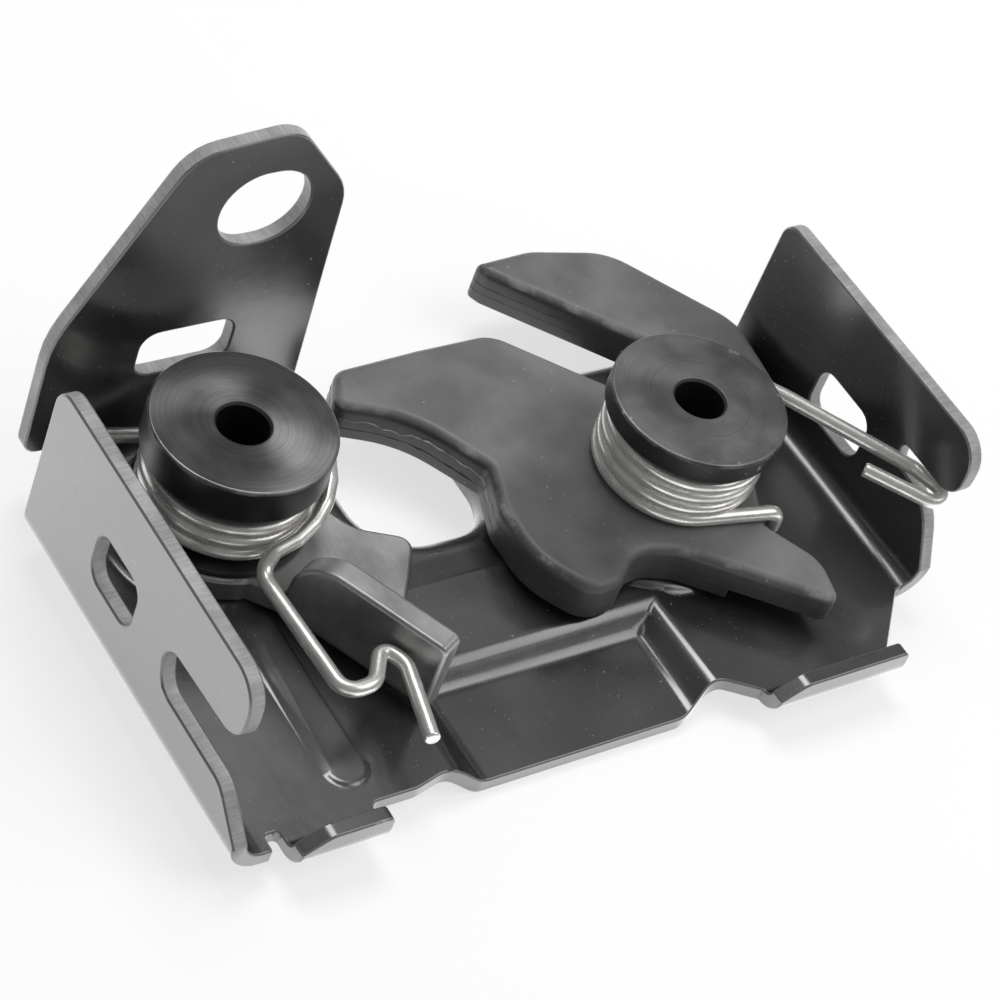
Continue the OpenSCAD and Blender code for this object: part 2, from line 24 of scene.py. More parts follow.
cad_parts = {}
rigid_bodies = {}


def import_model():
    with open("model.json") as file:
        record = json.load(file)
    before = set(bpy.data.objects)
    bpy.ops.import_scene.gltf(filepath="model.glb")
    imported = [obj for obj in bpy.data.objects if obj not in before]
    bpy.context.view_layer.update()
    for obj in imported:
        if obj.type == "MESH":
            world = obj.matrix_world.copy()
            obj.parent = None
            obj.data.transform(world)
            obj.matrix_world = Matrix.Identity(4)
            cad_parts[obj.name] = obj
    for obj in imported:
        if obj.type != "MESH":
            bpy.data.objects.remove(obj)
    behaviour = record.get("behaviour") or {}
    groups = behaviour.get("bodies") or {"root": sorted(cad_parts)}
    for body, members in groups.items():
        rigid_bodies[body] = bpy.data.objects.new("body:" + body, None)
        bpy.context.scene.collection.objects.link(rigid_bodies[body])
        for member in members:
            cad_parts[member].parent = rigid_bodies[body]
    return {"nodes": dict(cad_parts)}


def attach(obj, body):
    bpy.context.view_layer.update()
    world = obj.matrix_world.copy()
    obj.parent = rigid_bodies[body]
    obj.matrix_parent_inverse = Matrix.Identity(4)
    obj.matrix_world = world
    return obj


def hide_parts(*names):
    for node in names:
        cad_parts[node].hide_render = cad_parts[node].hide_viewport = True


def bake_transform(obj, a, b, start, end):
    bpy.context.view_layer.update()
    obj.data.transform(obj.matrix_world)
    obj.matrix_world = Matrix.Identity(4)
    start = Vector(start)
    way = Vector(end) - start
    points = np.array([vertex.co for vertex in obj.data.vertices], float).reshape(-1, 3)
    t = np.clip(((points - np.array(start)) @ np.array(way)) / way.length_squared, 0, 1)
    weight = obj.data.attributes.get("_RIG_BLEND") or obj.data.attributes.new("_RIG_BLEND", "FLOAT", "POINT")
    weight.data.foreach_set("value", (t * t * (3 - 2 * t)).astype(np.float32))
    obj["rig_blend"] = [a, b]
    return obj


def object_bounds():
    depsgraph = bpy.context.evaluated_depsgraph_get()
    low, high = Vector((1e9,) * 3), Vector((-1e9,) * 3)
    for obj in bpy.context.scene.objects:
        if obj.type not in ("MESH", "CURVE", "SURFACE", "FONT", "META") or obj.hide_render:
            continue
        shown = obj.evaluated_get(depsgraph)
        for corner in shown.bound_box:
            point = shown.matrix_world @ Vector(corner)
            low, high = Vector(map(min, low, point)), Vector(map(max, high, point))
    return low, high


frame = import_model()
for default in [o for o in bpy.data.objects if o.name in ("Cube", "Light", "Camera")]:
    bpy.data.objects.remove(default, do_unlink=True)
start_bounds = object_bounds()

logging.basicConfig(level=logging.INFO, format="%(message)s")
log = logging.getLogger("latch")

MM = 0.001
PAWL_AT = np.array([-66.4, 14.5])
PAWL_SHOULDER = 10.4
WIRE_R = 1.1
COIL_R = 11.1
TURN_RISE = 2.25

Value = Union[float, Sequence[float], NodeSocket]
Triple = tuple[float, float, float]


# ---- node graphs


class Graph:
    """A node tree, with short ways to add nodes. Pattern scales are counts per metre."""

    ONE_NUMBER: ClassVar[tuple[str, ...]] = ("LENGTH", "DISTANCE", "DOT_PRODUCT")

    def __init__(self, tree: NodeTree) -> None:
        """Starts from an emptied tree."""
        self.tree = tree
        self.tree.nodes.clear()

    def add(self, kind: str, feeds: Optional[dict] = None, **settings: object) -> Node:
        """Adds a node.

        Args:
            kind: node type without the ShaderNode prefix.
            feeds: socket name or index to a constant or to another node's output.
            settings: node properties.
        Returns:
            The node.
        """
        node = self.tree.nodes.new("ShaderNode" + kind)
        for key, value in settings.items():
            setattr(node, key, value)
        for key, value in (feeds or {}).items():
            if isinstance(value, NodeSocket):
                self.tree.links.new(value, node.inputs[key])
            else:
                node.inputs[key].default_value = value
        return node

    def math(self, operation: str, a: Value, b: Value = 0.0, clamp: bool = False) -> NodeSocket:
        """One arithmetic step on two numbers."""
        return self.add("Math", {0: a, 1: b}, operation=operation, use_clamp=clamp).outputs[0]

    def times(self, a: Value, b: Value) -> NodeSocket:
        """The product of two numbers."""
        return self.math("MULTIPLY", a, b)

    def plus(self, a: Value, b: Value) -> NodeSocket:
        """The sum of two numbers."""
        return self.math("ADD", a, b)

    def most(self, a: Value, b: Value) -> NodeSocket:
        """The larger of two numbers."""
        return self.math("MAXIMUM", a, b)

    def vector(self, operation: str, a: Value, b: Value = (0, 0, 0)) -> NodeSocket:
        """One step on two vectors, which gives a vector or a number."""
        node = self.add("VectorMath", {0: a, 1: b}, operation=operation)
        return node.outputs["Value" if operation in self.ONE_NUMBER else "Vector"]

    def mix(self, factor: Value, a: Value, b: Value) -> NodeSocket:
        """A number between a and b."""
        return self.add("Mix", {0: factor, 2: a, 3: b}, data_type="FLOAT").outputs[0]

    def over(self, under: Value, mask: Value, share: float, value: float) -> NodeSocket:
        """A number that goes a share of the way to another value inside a mask."""
        return self.mix(self.times(mask, share), under, value)

    def grey(self, value: Value) -> NodeSocket:
        """A neutral colour of one brightness."""
        return self.add("CombineColor", {0: value, 1: value, 2: value}).outputs[0]

    def band(self, value: Value, low: float, high: float, to_low: float = 0.0,
             to_high: float = 1.0) -> NodeSocket:
        """A smooth step: to_low where value is under low, to_high where it is over high."""
        return self.add("MapRange", {"Value": value, "From Min": low, "From Max": high,
                                     "To Min": to_low, "To Max": to_high},
                        interpolation_type="SMOOTHSTEP").outputs[0]

    def vary(self, value: Value, low: float, high: float, base: float, down: float,
             up: float) -> NodeSocket:
        """A smooth step of base, from its down share to its up share."""
        return self.band(value, low, high, base * down, base * up)

    def place(self) -> NodeSocket:
        """Object coordinates, which are metres in the shared frame."""
        return self.add("TexCoord").outputs["Object"]

    def height_of(self, vector: Value) -> NodeSocket:
        """A vector's third coordinate."""
        return self.add("SeparateXYZ", {0: vector}).outputs[2]

    def upward(self) -> NodeSocket:
        """How far the surface faces up: 1 on top, 0 on a wall, -1 below."""
        return self.height_of(self.add("NewGeometry").outputs["Normal"])

    def pair(self, x: Value, y: Value) -> NodeSocket:
        """A vector of two numbers and 0."""
        return self.add("CombineXYZ", {0: x, 1: y}).outputs[0]

    def attribute(self, name: str) -> NodeSocket:
        """A number that the mesh holds at its points."""
        return self.add("Attribute", attribute_name=name).outputs["Fac"]

    def stretched(self, vector: Value, scale: Triple, turn: Triple = (0, 0, 0)) -> NodeSocket:
        """Coordinates turned and then scaled by axis."""
        return self.add("Mapping", {"Vector": vector, "Scale": scale, "Rotation": turn}).outputs[0]

    def noise(self, vector: Value, scale: float, detail: float = 2.0,
              rough: float = 0.5) -> NodeSocket:
        """A cloud pattern from 0 to 1 with its mean near 0.5."""
        return self.add("TexNoise", {"Vector": vector, "Scale": scale, "Detail": detail,
                                     "Roughness": rough}).outputs[0]

    def specks(self, vector: Value, scale: float, size: float, share: float) -> NodeSocket:
        """Round grains in some cells of a Voronoi pattern.

        Args:
            vector: coordinates.
            scale: cells per metre.
            size: a grain's radius as a share of a cell.
            share: share of the cells that hold a grain.
        Returns:
            1 inside a grain, 0 outside.
        """
        cells = self.add("TexVoronoi", {"Vector": vector, "Scale": scale})
        inside = self.band(cells.outputs["Distance"], size * 0.5, size, 1.0, 0.0)
        chosen = self.add("SeparateColor", {0: cells.outputs["Color"]}).outputs[0]
        return self.times(inside, self.math("LESS_THAN", chosen, share))

    def hairlines(self, vector: Value, scale: float, width: float, share: float) -> NodeSocket:
        """Thin scratches: borders of warped Voronoi cells, kept where a cloud pattern is high.

        Args:
            vector: coordinates.
            scale: cells per metre.
            width: a scratch's half width as a share of a cell.
            share: about the share of the borders that stay.
        Returns:
            1 on a scratch, 0 elsewhere.
        """
        warp = self.add("TexNoise", {"Vector": vector, "Scale": scale * 0.6, "Detail": 1.0})
        pull = self.vector("MULTIPLY", warp.outputs["Color"], (0.004, 0.004, 0.004))
        bent = self.vector("ADD", vector, pull)
        cells = self.add("TexVoronoi", {"Vector": bent, "Scale": scale},
                         feature="DISTANCE_TO_EDGE")
        line = self.band(cells.outputs["Distance"], width * 0.4, width, 1.0, 0.0)
        kept = self.band(self.noise(vector, scale * 1.4), 1.0 - share, 1.05 - share)
        return self.times(line, kept)

    def bump(self, height: Value, depth: float) -> NodeSocket:
        """A normal from a height of 0 to 1 that stands for that depth in metres."""
        return self.add("Bump", {"Height": height, "Distance": depth, "Strength": 1.0}).outputs[0]

    def mirrored(self, path: Node) -> NodeSocket:
        """1 on rays that come from a mirror or through glass, by a Light Path node."""
        return self.most(path.outputs["Is Glossy Ray"], path.outputs["Is Transmission Ray"])

    def surface(self, feeds: dict) -> None:
        """Ends a material in a Principled surface."""
        shader = self.add("BsdfPrincipled", feeds)
        self.add("OutputMaterial", {"Surface": shader.outputs[0]})


# ---- finishes


class SheetWay(Enum):
    """The axis along the sheet's thickness, which is the way the shear marks run."""

    X = (0.12, 1.0, 1.0)
    Y = (1.0, 0.12, 1.0)
    Z = (1.0, 1.0, 0.12)


@dataclass(frozen=True)
class Finish:
    """A named material and the nodes that make it."""

    name: str

    def lay(self, g: Graph) -> None:
        """Lays the nodes into an empty graph."""
        raise NotImplementedError

    def make(self) -> Material:
        """Makes the material.

        Returns:
            The material with its nodes.
        """
        material = bpy.data.materials.new(self.name)
        material.use_nodes = True
        self.lay(Graph(material.node_tree))
        return material


@dataclass(frozen=True)
class CoatFinish(Finish):
    """Black dip coat on sheet steel: glossy, with orange peel, dust and hairline scratches."""

    name: str = "coat_black"
    tone: float = 0.024
    rough: float = 0.26
    ior: float = 1.95
    coat: float = 1.0
    dust: float = 0.45

    def lay(self, g: Graph) -> None:
        """Lays clouds, dust, lint and scratches over a peel of about 1.6 mm.

        Args:
            g: the empty graph.
        """
        at = g.place()
        cloud, peel, grain = g.noise(at, 55, 4), g.noise(at, 620, 2), g.noise(at, 5200, 2)
        dust = g.most(g.specks(at, 430, 0.06, self.dust), g.specks(at, 1100, 0.09, self.dust))
        thread = g.stretched(at, (1, 0.25, 1), (0.3, 0.2, 0.9))
        marks = g.most(dust, g.specks(thread, 300, 0.07, self.dust * 0.4))
        scratch = g.hairlines(at, 75, 0.006, 0.36)
        tone = g.vary(cloud, 0.3, 0.7, self.tone, 0.75, 1.5)
        tone = g.over(tone, scratch, 0.35, 0.14)
        tone = g.over(tone, marks, 0.85, 0.5)
        rough = g.vary(cloud, 0.25, 0.75, self.rough, 0.85, 1.3)
        rough = g.plus(rough, g.times(marks, 0.35))
        height = g.plus(g.times(peel, 0.8), g.times(grain, 0.10))
        height = g.plus(height, g.times(g.noise(at, 130, 2), 3.0))
        height = g.math("SUBTRACT", height, g.times(scratch, 0.15))
        g.surface({"Base Color": g.grey(tone), "Roughness": rough, "IOR": self.ior,
                   "Coat Weight": self.coat, "Coat Roughness": 0.17,
                   "Normal": g.bump(height, 2.2e-5)})


@dataclass(frozen=True)
class ShearFinish(Finish):
    """Cut edge of the coated sheet: rougher and lighter, with faint marks across the thickness."""

    way: SheetWay
    tone: float = 0.46
    rough: float = 0.45

    def lay(self, g: Graph) -> None:
        """Lays shear marks, stretched along the sheet's thickness.

        Args:
            g: the empty graph.
        """
        at = g.place()
        marks = g.noise(g.stretched(at, self.way.value), 2600, 3, 0.6)
        cloud = g.band(g.noise(at, 160, 3), 0.35, 0.7, -0.09, 0.06)
        tone = g.plus(g.vary(marks, 0.3, 0.75, self.tone, 0.82, 1.12), cloud)
        rough = g.vary(marks, 0.2, 0.8, self.rough, 0.8, 1.3)
        g.surface({"Base Color": g.grey(tone), "Roughness": rough, "IOR": 1.6,
                   "Normal": g.bump(marks, 1.6e-5)})


@dataclass(frozen=True)
class EdgeFinish(Finish):
    """Rounded edges, where the coat is thin and in places rubbed to the metal."""

    name: str = "coat_edge"
    tone: float = 0.16
    bare: float = 0.40

    def lay(self, g: Graph) -> None:
        """Lays thin coat, with bare metal in the high spots of some patches.

        Args:
            g: the empty graph.
        """
        at = g.place()
        rubbed = g.times(g.band(g.noise(at, 420, 5, 0.65), 0.60, 0.70),
                         g.band(g.noise(at, 60, 2), 0.45, 0.62))
        g.surface({"Base Color": g.grey(g.mix(rubbed, self.tone, self.bare)),
                   "Roughness": g.mix(rubbed, 0.3, 0.42), "IOR": 1.75,
                   "Metallic": g.times(rubbed, 0.7), "Coat Weight": 0.3, "Coat Roughness": 0.15,
                   "Normal": g.bump(g.noise(at, 1400, 3), 1.5e-5)})


@dataclass(frozen=True)
class JacketFinish(Finish):
    """Satin black moulding: grain, drag marks, shoulders of wear and painted highlight, a top of dust and
    painted sheen.

    The pale top is darker about the front lobe: painted shade.
    """

    name: str = "claw_jacket"
    tone: float = 0.07
    # shade of faces that turn up: a film of dust and painted top sheen
    dust_and_sheen: float = 0.20
    rough: float = 0.42
    # centre of the painted shade on the front lobe, in millimetres
    lobe: Triple = (-24.0, -9.0, 12.9)

    def lay(self, g: Graph) -> None:
        """Lays a top of dust and painted sheen, painted lobe shade, scuffs, shoulders of wear and painted
        highlight, specks.

        Args:
            g: the empty graph.
        """
        at = g.place()
        up = g.upward()
        cloud = g.noise(at, 70, 5, 0.55)
        drag = g.noise(g.stretched(at, (1, 0.06, 1), (0, 0, 0.55)), 1900, 2)
        scuff = g.times(g.band(drag, 0.62, 0.72), g.band(g.noise(at, 120, 2), 0.5, 0.66))
        dust = g.most(g.specks(at, 430, 0.085, 0.4), g.specks(at, 900, 0.10, 0.3))
        marks = g.most(dust, g.times(g.hairlines(at, 110, 0.007, 0.34), 0.4))
        # painted shade: within 5 to 20 mm of the front lobe the pale top drops to 0.42 of itself
        away = g.vector("DISTANCE", at, tuple(c * MM for c in self.lobe))
        dust_and_sheen = g.band(away, 5 * MM, 20 * MM, self.dust_and_sheen * 0.42, self.dust_and_sheen)
        # painted sheen and dust: faces that turn up take the paler shade, walls keep the black tone
        base = g.mix(g.band(up, 0.25, 1.0), self.tone, dust_and_sheen)
        # painted rim highlight and wear: a pale band where the rounded shoulders turn partly up, broken up
        # by noise
        shoulder = g.times(g.band(up, 0.3, 0.55), g.band(up, 0.78, 0.97, 1.0, 0.0))
        wear_and_highlight = g.times(shoulder, g.band(g.noise(at, 190, 5, 0.65), 0.48, 0.66))
        tone = g.times(g.band(cloud, 0.3, 0.72, 0.75, 1.28), base)
        tone = g.over(tone, scuff, 0.35, 0.24)
        tone = g.over(tone, wear_and_highlight, 0.7, 0.36)
        tone = g.over(tone, marks, 0.75, 0.45)
        height = g.plus(g.times(g.noise(at, 6500, 2), 0.22), g.times(g.noise(at, 300, 3), 0.7))
        g.surface({"Base Color": g.grey(tone), "IOR": 1.55, "Normal": g.bump(height, 3.0e-5),
                   "Roughness": g.vary(cloud, 0.3, 0.7, self.rough, 0.9, 1.2)})


@dataclass(frozen=True)
class FlashFinish(Finish):
    """The thin fin of a parting line: black, and torn pale where the attribute says so."""

    name: str = "claw_flash"
    tone: float = 0.06
    torn: float = 0.75

    def lay(self, g: Graph) -> None:
        """Lays torn spots by the attribute pale and a cloud pattern.

        Args:
            g: the empty graph.
        """
        at = g.place()
        torn = g.times(g.band(g.attribute("pale"), 0.1, 0.7),
                       g.band(g.noise(at, 900, 3), 0.3, 0.55))
        g.surface({"Base Color": g.grey(g.mix(torn, self.tone, self.torn)), "Roughness": 0.5,
                   "IOR": 1.5, "Normal": g.bump(g.noise(at, 3000, 2), 2.0e-5)})


@dataclass(frozen=True)
class TurnedFinish(Finish):
    """Blackened steel turned on a lathe: rings about the axis, dark side, rubbed rim, chips."""

    axis: tuple[float, float]
    tone: float = 0.14
    rough: float = 0.34
    rings: float = 1.0
    chips: float = 0.2
    rim: float = 0.5
    side: float = 0.012

    def lay(self, g: Graph) -> None:
        """Lays rings by the radius, with gloss drawn along them, and wear at the rim.

        Args:
            g: the empty graph.
        """
        at = g.place()
        arm = g.vector("SUBTRACT", at, (self.axis[0] * MM, self.axis[1] * MM, 0.0))
        flat = g.vector("MULTIPLY", arm, (1.0, 1.0, 0.0))
        radius, height = g.vector("LENGTH", flat), g.height_of(at)
        across = g.vector("CROSS_PRODUCT", (0, 0, 1), flat)
        along = g.add("VectorTransform", {0: across}, vector_type="VECTOR",
                      convert_from="OBJECT", convert_to="WORLD").outputs[0]
        feed = g.pair(radius, height)
        turned = g.plus(g.times(g.noise(feed, 4200, 2, 0.7), 0.6),
                        g.times(g.noise(feed, 900, 2, 0.6), 0.4))
        ring = g.mix(self.rings, 0.5, turned)
        cloud = g.noise(at, 140, 4)
        edge = g.times(g.band(radius, 12.55 * MM, 12.75 * MM),
                       g.band(g.noise(at, 260, 4), 0.38, 0.6))
        edge = g.times(edge, g.band(height, 26.35 * MM, 26.6 * MM))
        fall = 0.12 * self.chips
        chip = g.band(g.noise(at, 520, 5, 0.7), 0.70 - fall, 0.73 - fall)
        chip = g.times(chip, g.times(g.band(radius, 11.2 * MM, 12.8 * MM),
                                     g.band(height, 24.2 * MM, 25.6 * MM)))
        bare = g.math("MAXIMUM", g.times(edge, self.rim), chip, True)
        face = g.band(g.upward(), 0.4, 0.9)
        tone = g.times(g.vary(cloud, 0.3, 0.7, self.tone, 0.8, 1.2),
                       g.band(ring, 0.25, 0.75, 0.72, 1.3))
        tone = g.mix(bare, g.mix(face, self.side, tone), 0.5)
        tone = g.over(tone, g.specks(at, 480, 0.06, 0.2), 0.6, 0.4)
        g.surface({"Base Color": g.grey(tone), "Metallic": g.mix(face, 0.0, 0.92), "IOR": 1.45,
                   "Roughness": g.vary(cloud, 0.3, 0.7, self.rough, 0.9, 1.15),
                   "Anisotropic": 0.85 * self.rings, "Tangent": along,
                   "Normal": g.bump(ring, 1.6e-5)})


@dataclass(frozen=True)
class SteelFinish(Finish):
    """Bare pressed steel: satin grey with a cloudy tone, rolling marks and small dark spots."""

    name: str = "pawl_steel"
    tone: float = 0.42
    rough: float = 0.40

    def lay(self, g: Graph) -> None:
        """Lays clouds and rolling marks, then spots and bright scratches.

        Args:
            g: the empty graph.
        """
        at = g.place()
        cloud = g.noise(at, 90, 5, 0.6)
        rolled = g.noise(g.stretched(at, (1, 0.08, 1), (0, 0, -0.46)), 2300, 3, 0.6)
        tone = g.times(g.vary(cloud, 0.28, 0.72, self.tone, 0.78, 1.2),
                       g.band(rolled, 0.25, 0.75, 0.94, 1.05))
        tone = g.over(tone, g.specks(at, 360, 0.10, 0.25), 0.5, 0.12)
        tone = g.over(tone, g.hairlines(at, 150, 0.010, 0.40), 0.25, 0.6)
        height = g.plus(g.times(rolled, 0.3), g.times(g.noise(at, 2600, 2), 0.4))
        g.surface({"Base Color": g.grey(tone), "Metallic": 0.9, "IOR": 1.8,
                   "Roughness": g.vary(cloud, 0.3, 0.7, self.rough, 0.85, 1.2),
                   "Normal": g.bump(height, 1.8e-5)})


@dataclass(frozen=True)
class WireFinish(Finish):
    """Drawn spring wire: bright, faintly warm steel with die lines along it and dull patches."""

    tone: float = 0.98
    rough: float = 0.28
    warmth: Triple = (1.0, 0.985, 0.95)

    def lay(self, g: Graph) -> None:
        """Lays lines and patches by the attributes along and around.

        Args:
            g: the empty graph.
        """
        along, around = g.attribute("along"), g.attribute("around")
        drawn = g.noise(g.pair(g.times(around, 2.2), g.times(along, 90.0)), 6.0, 3, 0.6)
        patch = g.noise(g.pair(around, g.times(along, 160.0)), 1.3, 4)
        tone = g.times(g.vary(drawn, 0.3, 0.7, self.tone, 0.86, 1.0),
                       g.band(patch, 0.3, 0.65, 0.82, 1.0))
        g.surface({"Base Color": g.vector("MULTIPLY", g.grey(tone), self.warmth),
                   "Metallic": 0.68, "IOR": 1.9, "Normal": g.bump(drawn, 1.2e-5),
                   "Roughness": g.vary(patch, 0.3, 0.7, self.rough, 1.35, 0.85)})


@dataclass(frozen=True)
class MatteFinish(Finish):
    """Dull black plastic with a sanded grain."""

    name: str = "washer_black"
    tone: float = 0.02

    def lay(self, g: Graph) -> None:
        """Lays grain over a cloudy black.

        Args:
            g: the empty graph.
        """
        at = g.place()
        grain = g.noise(at, 3800, 3)
        tone = g.vary(g.noise(at, 240, 4), 0.3, 0.7, self.tone, 0.7, 1.6)
        g.surface({"Base Color": g.grey(tone), "Roughness": g.band(grain, 0.3, 0.7, 0.48, 0.66),
                   "IOR": 1.5, "Normal": g.bump(grain, 3.0e-5)})


@dataclass(frozen=True)
class FloorFinish(Finish):
    """Studio floor: nearly white where it is seen or mirrored, plain white for all other light."""

    name: str = "floor_white"
    seen: float = 0.67
    mirror: float = 1.0
    shadow: float = 0.5

    def lay(self, g: Graph) -> None:
        """Adds a glow to a diffuse surface, whose share of light seen keeps the shadow.

        Args:
            g: the empty graph.
        """
        path = g.add("LightPath")
        camera = path.outputs["Is Camera Ray"]
        tint = g.band(g.noise(g.place(), 9, 3), 0.3, 0.7, 0.80, 0.82)
        glow = g.plus(g.times(camera, self.seen), g.times(g.mirrored(path), self.mirror))
        colour = g.grey(g.times(tint, g.mix(camera, 1.0, self.shadow)))
        diffuse = g.add("BsdfDiffuse", {"Color": colour})
        emission = g.add("Emission", {"Color": (1, 1, 1, 1), "Strength": glow})
        both = g.add("AddShader", {0: diffuse.outputs[0], 1: emission.outputs[0]})
        g.add("OutputMaterial", {"Surface": both.outputs[0]})


# ---- numpy shapes


def unit(v: np.ndarray) -> np.ndarray:
    """Vectors of length 1 along the last axis."""
    return v / np.maximum(np.linalg.norm(v, axis=-1, keepdims=True), 1e-12)


def lengths(path: np.ndarray) -> np.ndarray:
    """The distance along a path at each of its points."""
    return np.concatenate([[0], np.cumsum(np.linalg.norm(np.diff(path, axis=0), axis=1))])


def polar(radius: Union[float, np.ndarray], degrees: Union[float, np.ndarray],
          z: Union[float, np.ndarray]) -> np.ndarray:
    """Points about the Z axis: r cos a, r sin a and the height, one a row."""
    a = np.radians(degrees)
    return np.column_stack(np.broadcast_arrays(radius * np.cos(a), radius * np.sin(a), z))


def filleted(points: Sequence, radii: Union[float, Sequence[float]], closed: bool,
             step: float = 6.0) -> np.ndarray:
    """A path with every corner turned into an arc.

    The arc of radius r touches both sides at r / tan(half the corner's angle) from the corner, and
    no further than half a side. Its points are a spherical blend of the two touching radii.

    Args:
        points: the corners, in two or three coordinates.
        radii: one radius, or one for each corner.
        closed: whether the last corner joins the first.
        step: largest turn between two points of an arc, in degrees.
    Returns:
        The path's points, one a row.
    """
    p = np.asarray(points, float)
    count = len(p)
    r_all = np.broadcast_to(np.asarray(radii, float), (count,))
    runs = []
    for i in range(count):
        if not closed and i in (0, count - 1):
            runs.append(p[i:i + 1])
            continue
        a, b, c = p[i - 1], p[i], p[(i + 1) % count]
        u, v = unit(a - b), unit(c - b)
        half = 0.5 * math.acos(float(np.clip(u @ v, -1, 1)))
        if half > math.radians(89.5) or r_all[i] <= 0:
            runs.append(p[i:i + 1])
            continue
        reach = min(r_all[i] / math.tan(half), 0.499 * np.linalg.norm(a - b),
                    0.499 * np.linalg.norm(c - b))
        middle = b + unit(u + v) * (reach * math.tan(half) / math.sin(half))
        first, last = b + u * reach - middle, b + v * reach - middle
        sweep = math.pi - 2 * half
        t = np.linspace(0, 1, max(2, math.ceil(math.degrees(sweep) / step) + 1))[:, None]
        blend = np.sin((1 - t) * sweep) * first + np.sin(t * sweep) * last
        runs.append(middle + blend / math.sin(sweep))
    return np.vstack(runs)


def spread(path: np.ndarray, gap: float, closed: bool) -> np.ndarray:
    """The same path with points at an even distance along it.

    Args:
        path: the points, one a row.
        gap: about the distance between new points.
        closed: whether the last point joins the first.
    Returns:
        The new points.
    """
    ring = np.vstack([path, path[:1]]) if closed else path
    length = lengths(ring)
    count = max(3, int(round(length[-1] / gap)))
    at = np.linspace(0, length[-1], count, endpoint=not closed)
    return np.stack([np.interp(at, length, ring[:, k]) for k in range(ring.shape[1])], axis=1)


def linked(name: str, data: ID) -> Object:
    """Puts a new object into the scene, at the origin.

    Args:
        name: the object's name.
        data: its mesh, lamp or camera.
    Returns:
        The object.
    """
    obj = bpy.data.objects.new(name, data)
    bpy.context.scene.collection.objects.link(obj)
    return obj


def quads(net: np.ndarray) -> list[list[int]]:
    """The faces between neighbouring rows and columns of a net of point numbers."""
    corners = [net[:-1, :-1], net[:-1, 1:], net[1:, 1:], net[1:, :-1]]
    return np.stack(corners, axis=-1).reshape(-1, 4).tolist()


def sharpen(obj: Object, degrees: float = 40.0) -> None:
    """Keeps edges over an angle sharp in smooth shading."""
    obj.data.set_sharp_from_angle(angle=math.radians(degrees))


def point_numbers(obj: Object, key: str, values: np.ndarray) -> None:
    """Writes one number for each point of the mesh under a name."""
    layer = obj.data.attributes.new(key, "FLOAT", "POINT")
    layer.data.foreach_set("value", values.astype(np.float32))


def grid_mesh(name: str, grid: np.ndarray, wrap_rows: bool, wrap_columns: bool,
              caps: bool = False) -> Object:
    """An object whose surface is a grid of points.

    Args:
        name: the object's name.
        grid: rows by columns by three, in millimetres in the shared frame.
        wrap_rows: the last row joins the first.
        wrap_columns: the last column joins the first.
        caps: closes the first and the last row with a flat face.
    Returns:
        The object, at the origin.
    """
    rows, columns = grid.shape[:2]
    index = np.arange(rows * columns).reshape(rows, columns)
    near = np.vstack([index, index[:1]]) if wrap_rows else index
    faces = quads(np.hstack([near, near[:, :1]]) if wrap_columns else near)
    if caps:
        faces += [index[0][::-1].tolist(), index[-1].tolist()]
    mesh = bpy.data.meshes.new(name)
    mesh.from_pydata((grid.reshape(-1, 3) * MM).tolist(), [], faces)
    mesh.validate()
    mesh.shade_smooth()
    return linked(name, mesh)


def bored_loft(name: str, rings: np.ndarray, bore: float, segments: int = 96) -> Object:
    """A closed solid: a loft of rings, flat ends, and a bore about the Z axis through both ends.

    Args:
        name: the object's name.
        rings: rows by points by three in millimetres, from the lower end to the upper.
        bore: the bore's radius.
        segments: steps around the bore.
    Returns:
        The object.
    """
    rows, columns = rings.shape[:2]
    around = np.linspace(0, 360, segments, endpoint=False)
    holes = np.stack([polar(bore, around, rings[k, 0, 2]) for k in (0, -1)])
    index = np.arange(rows * columns).reshape(rows, columns)
    inner = rows * columns + np.arange(2 * segments).reshape(2, segments)
    faces = []
    for net in (index, inner):
        faces += quads(np.hstack([net, net[:, :1]]))
    for k in (0, -1):
        names = np.concatenate([index[k], inner[k]])
        cap = tessellate_polygon([[Vector(p) for p in rings[k]], [Vector(p) for p in holes[k]]])
        faces += names[np.array(cap)].tolist()
    points = np.vstack([rings.reshape(-1, 3), holes.reshape(-1, 3)])
    mesh = bpy.data.meshes.new(name)
    mesh.from_pydata((points * MM).tolist(), [], faces)
    bm = bmesh.new()
    bm.from_mesh(mesh)
    bmesh.ops.recalc_face_normals(bm, faces=bm.faces)
    bm.to_mesh(mesh)
    bm.free()
    mesh.shade_smooth()
    return linked(name, mesh)


def lathe(name: str, profile: np.ndarray, axis: Sequence[float], segments: int = 160) -> Object:
    """A closed profile turned about a vertical axis: x = r cos a, y = r sin a, z kept.

    Args:
        name: the object's name.
        profile: rows of radius and height in millimetres.
        axis: the axis' X and Y in millimetres.
        segments: steps around.
    Returns:
        The object.
    """
    a = np.linspace(0, 2 * math.pi, segments, endpoint=False)
    r, z = profile[:, 0][:, None], profile[:, 1][:, None]
    height = np.broadcast_to(z, (len(profile), segments))
    grid = np.stack([axis[0] + r * np.cos(a), axis[1] + r * np.sin(a), height], axis=-1)
    return grid_mesh(name, grid, True, True)


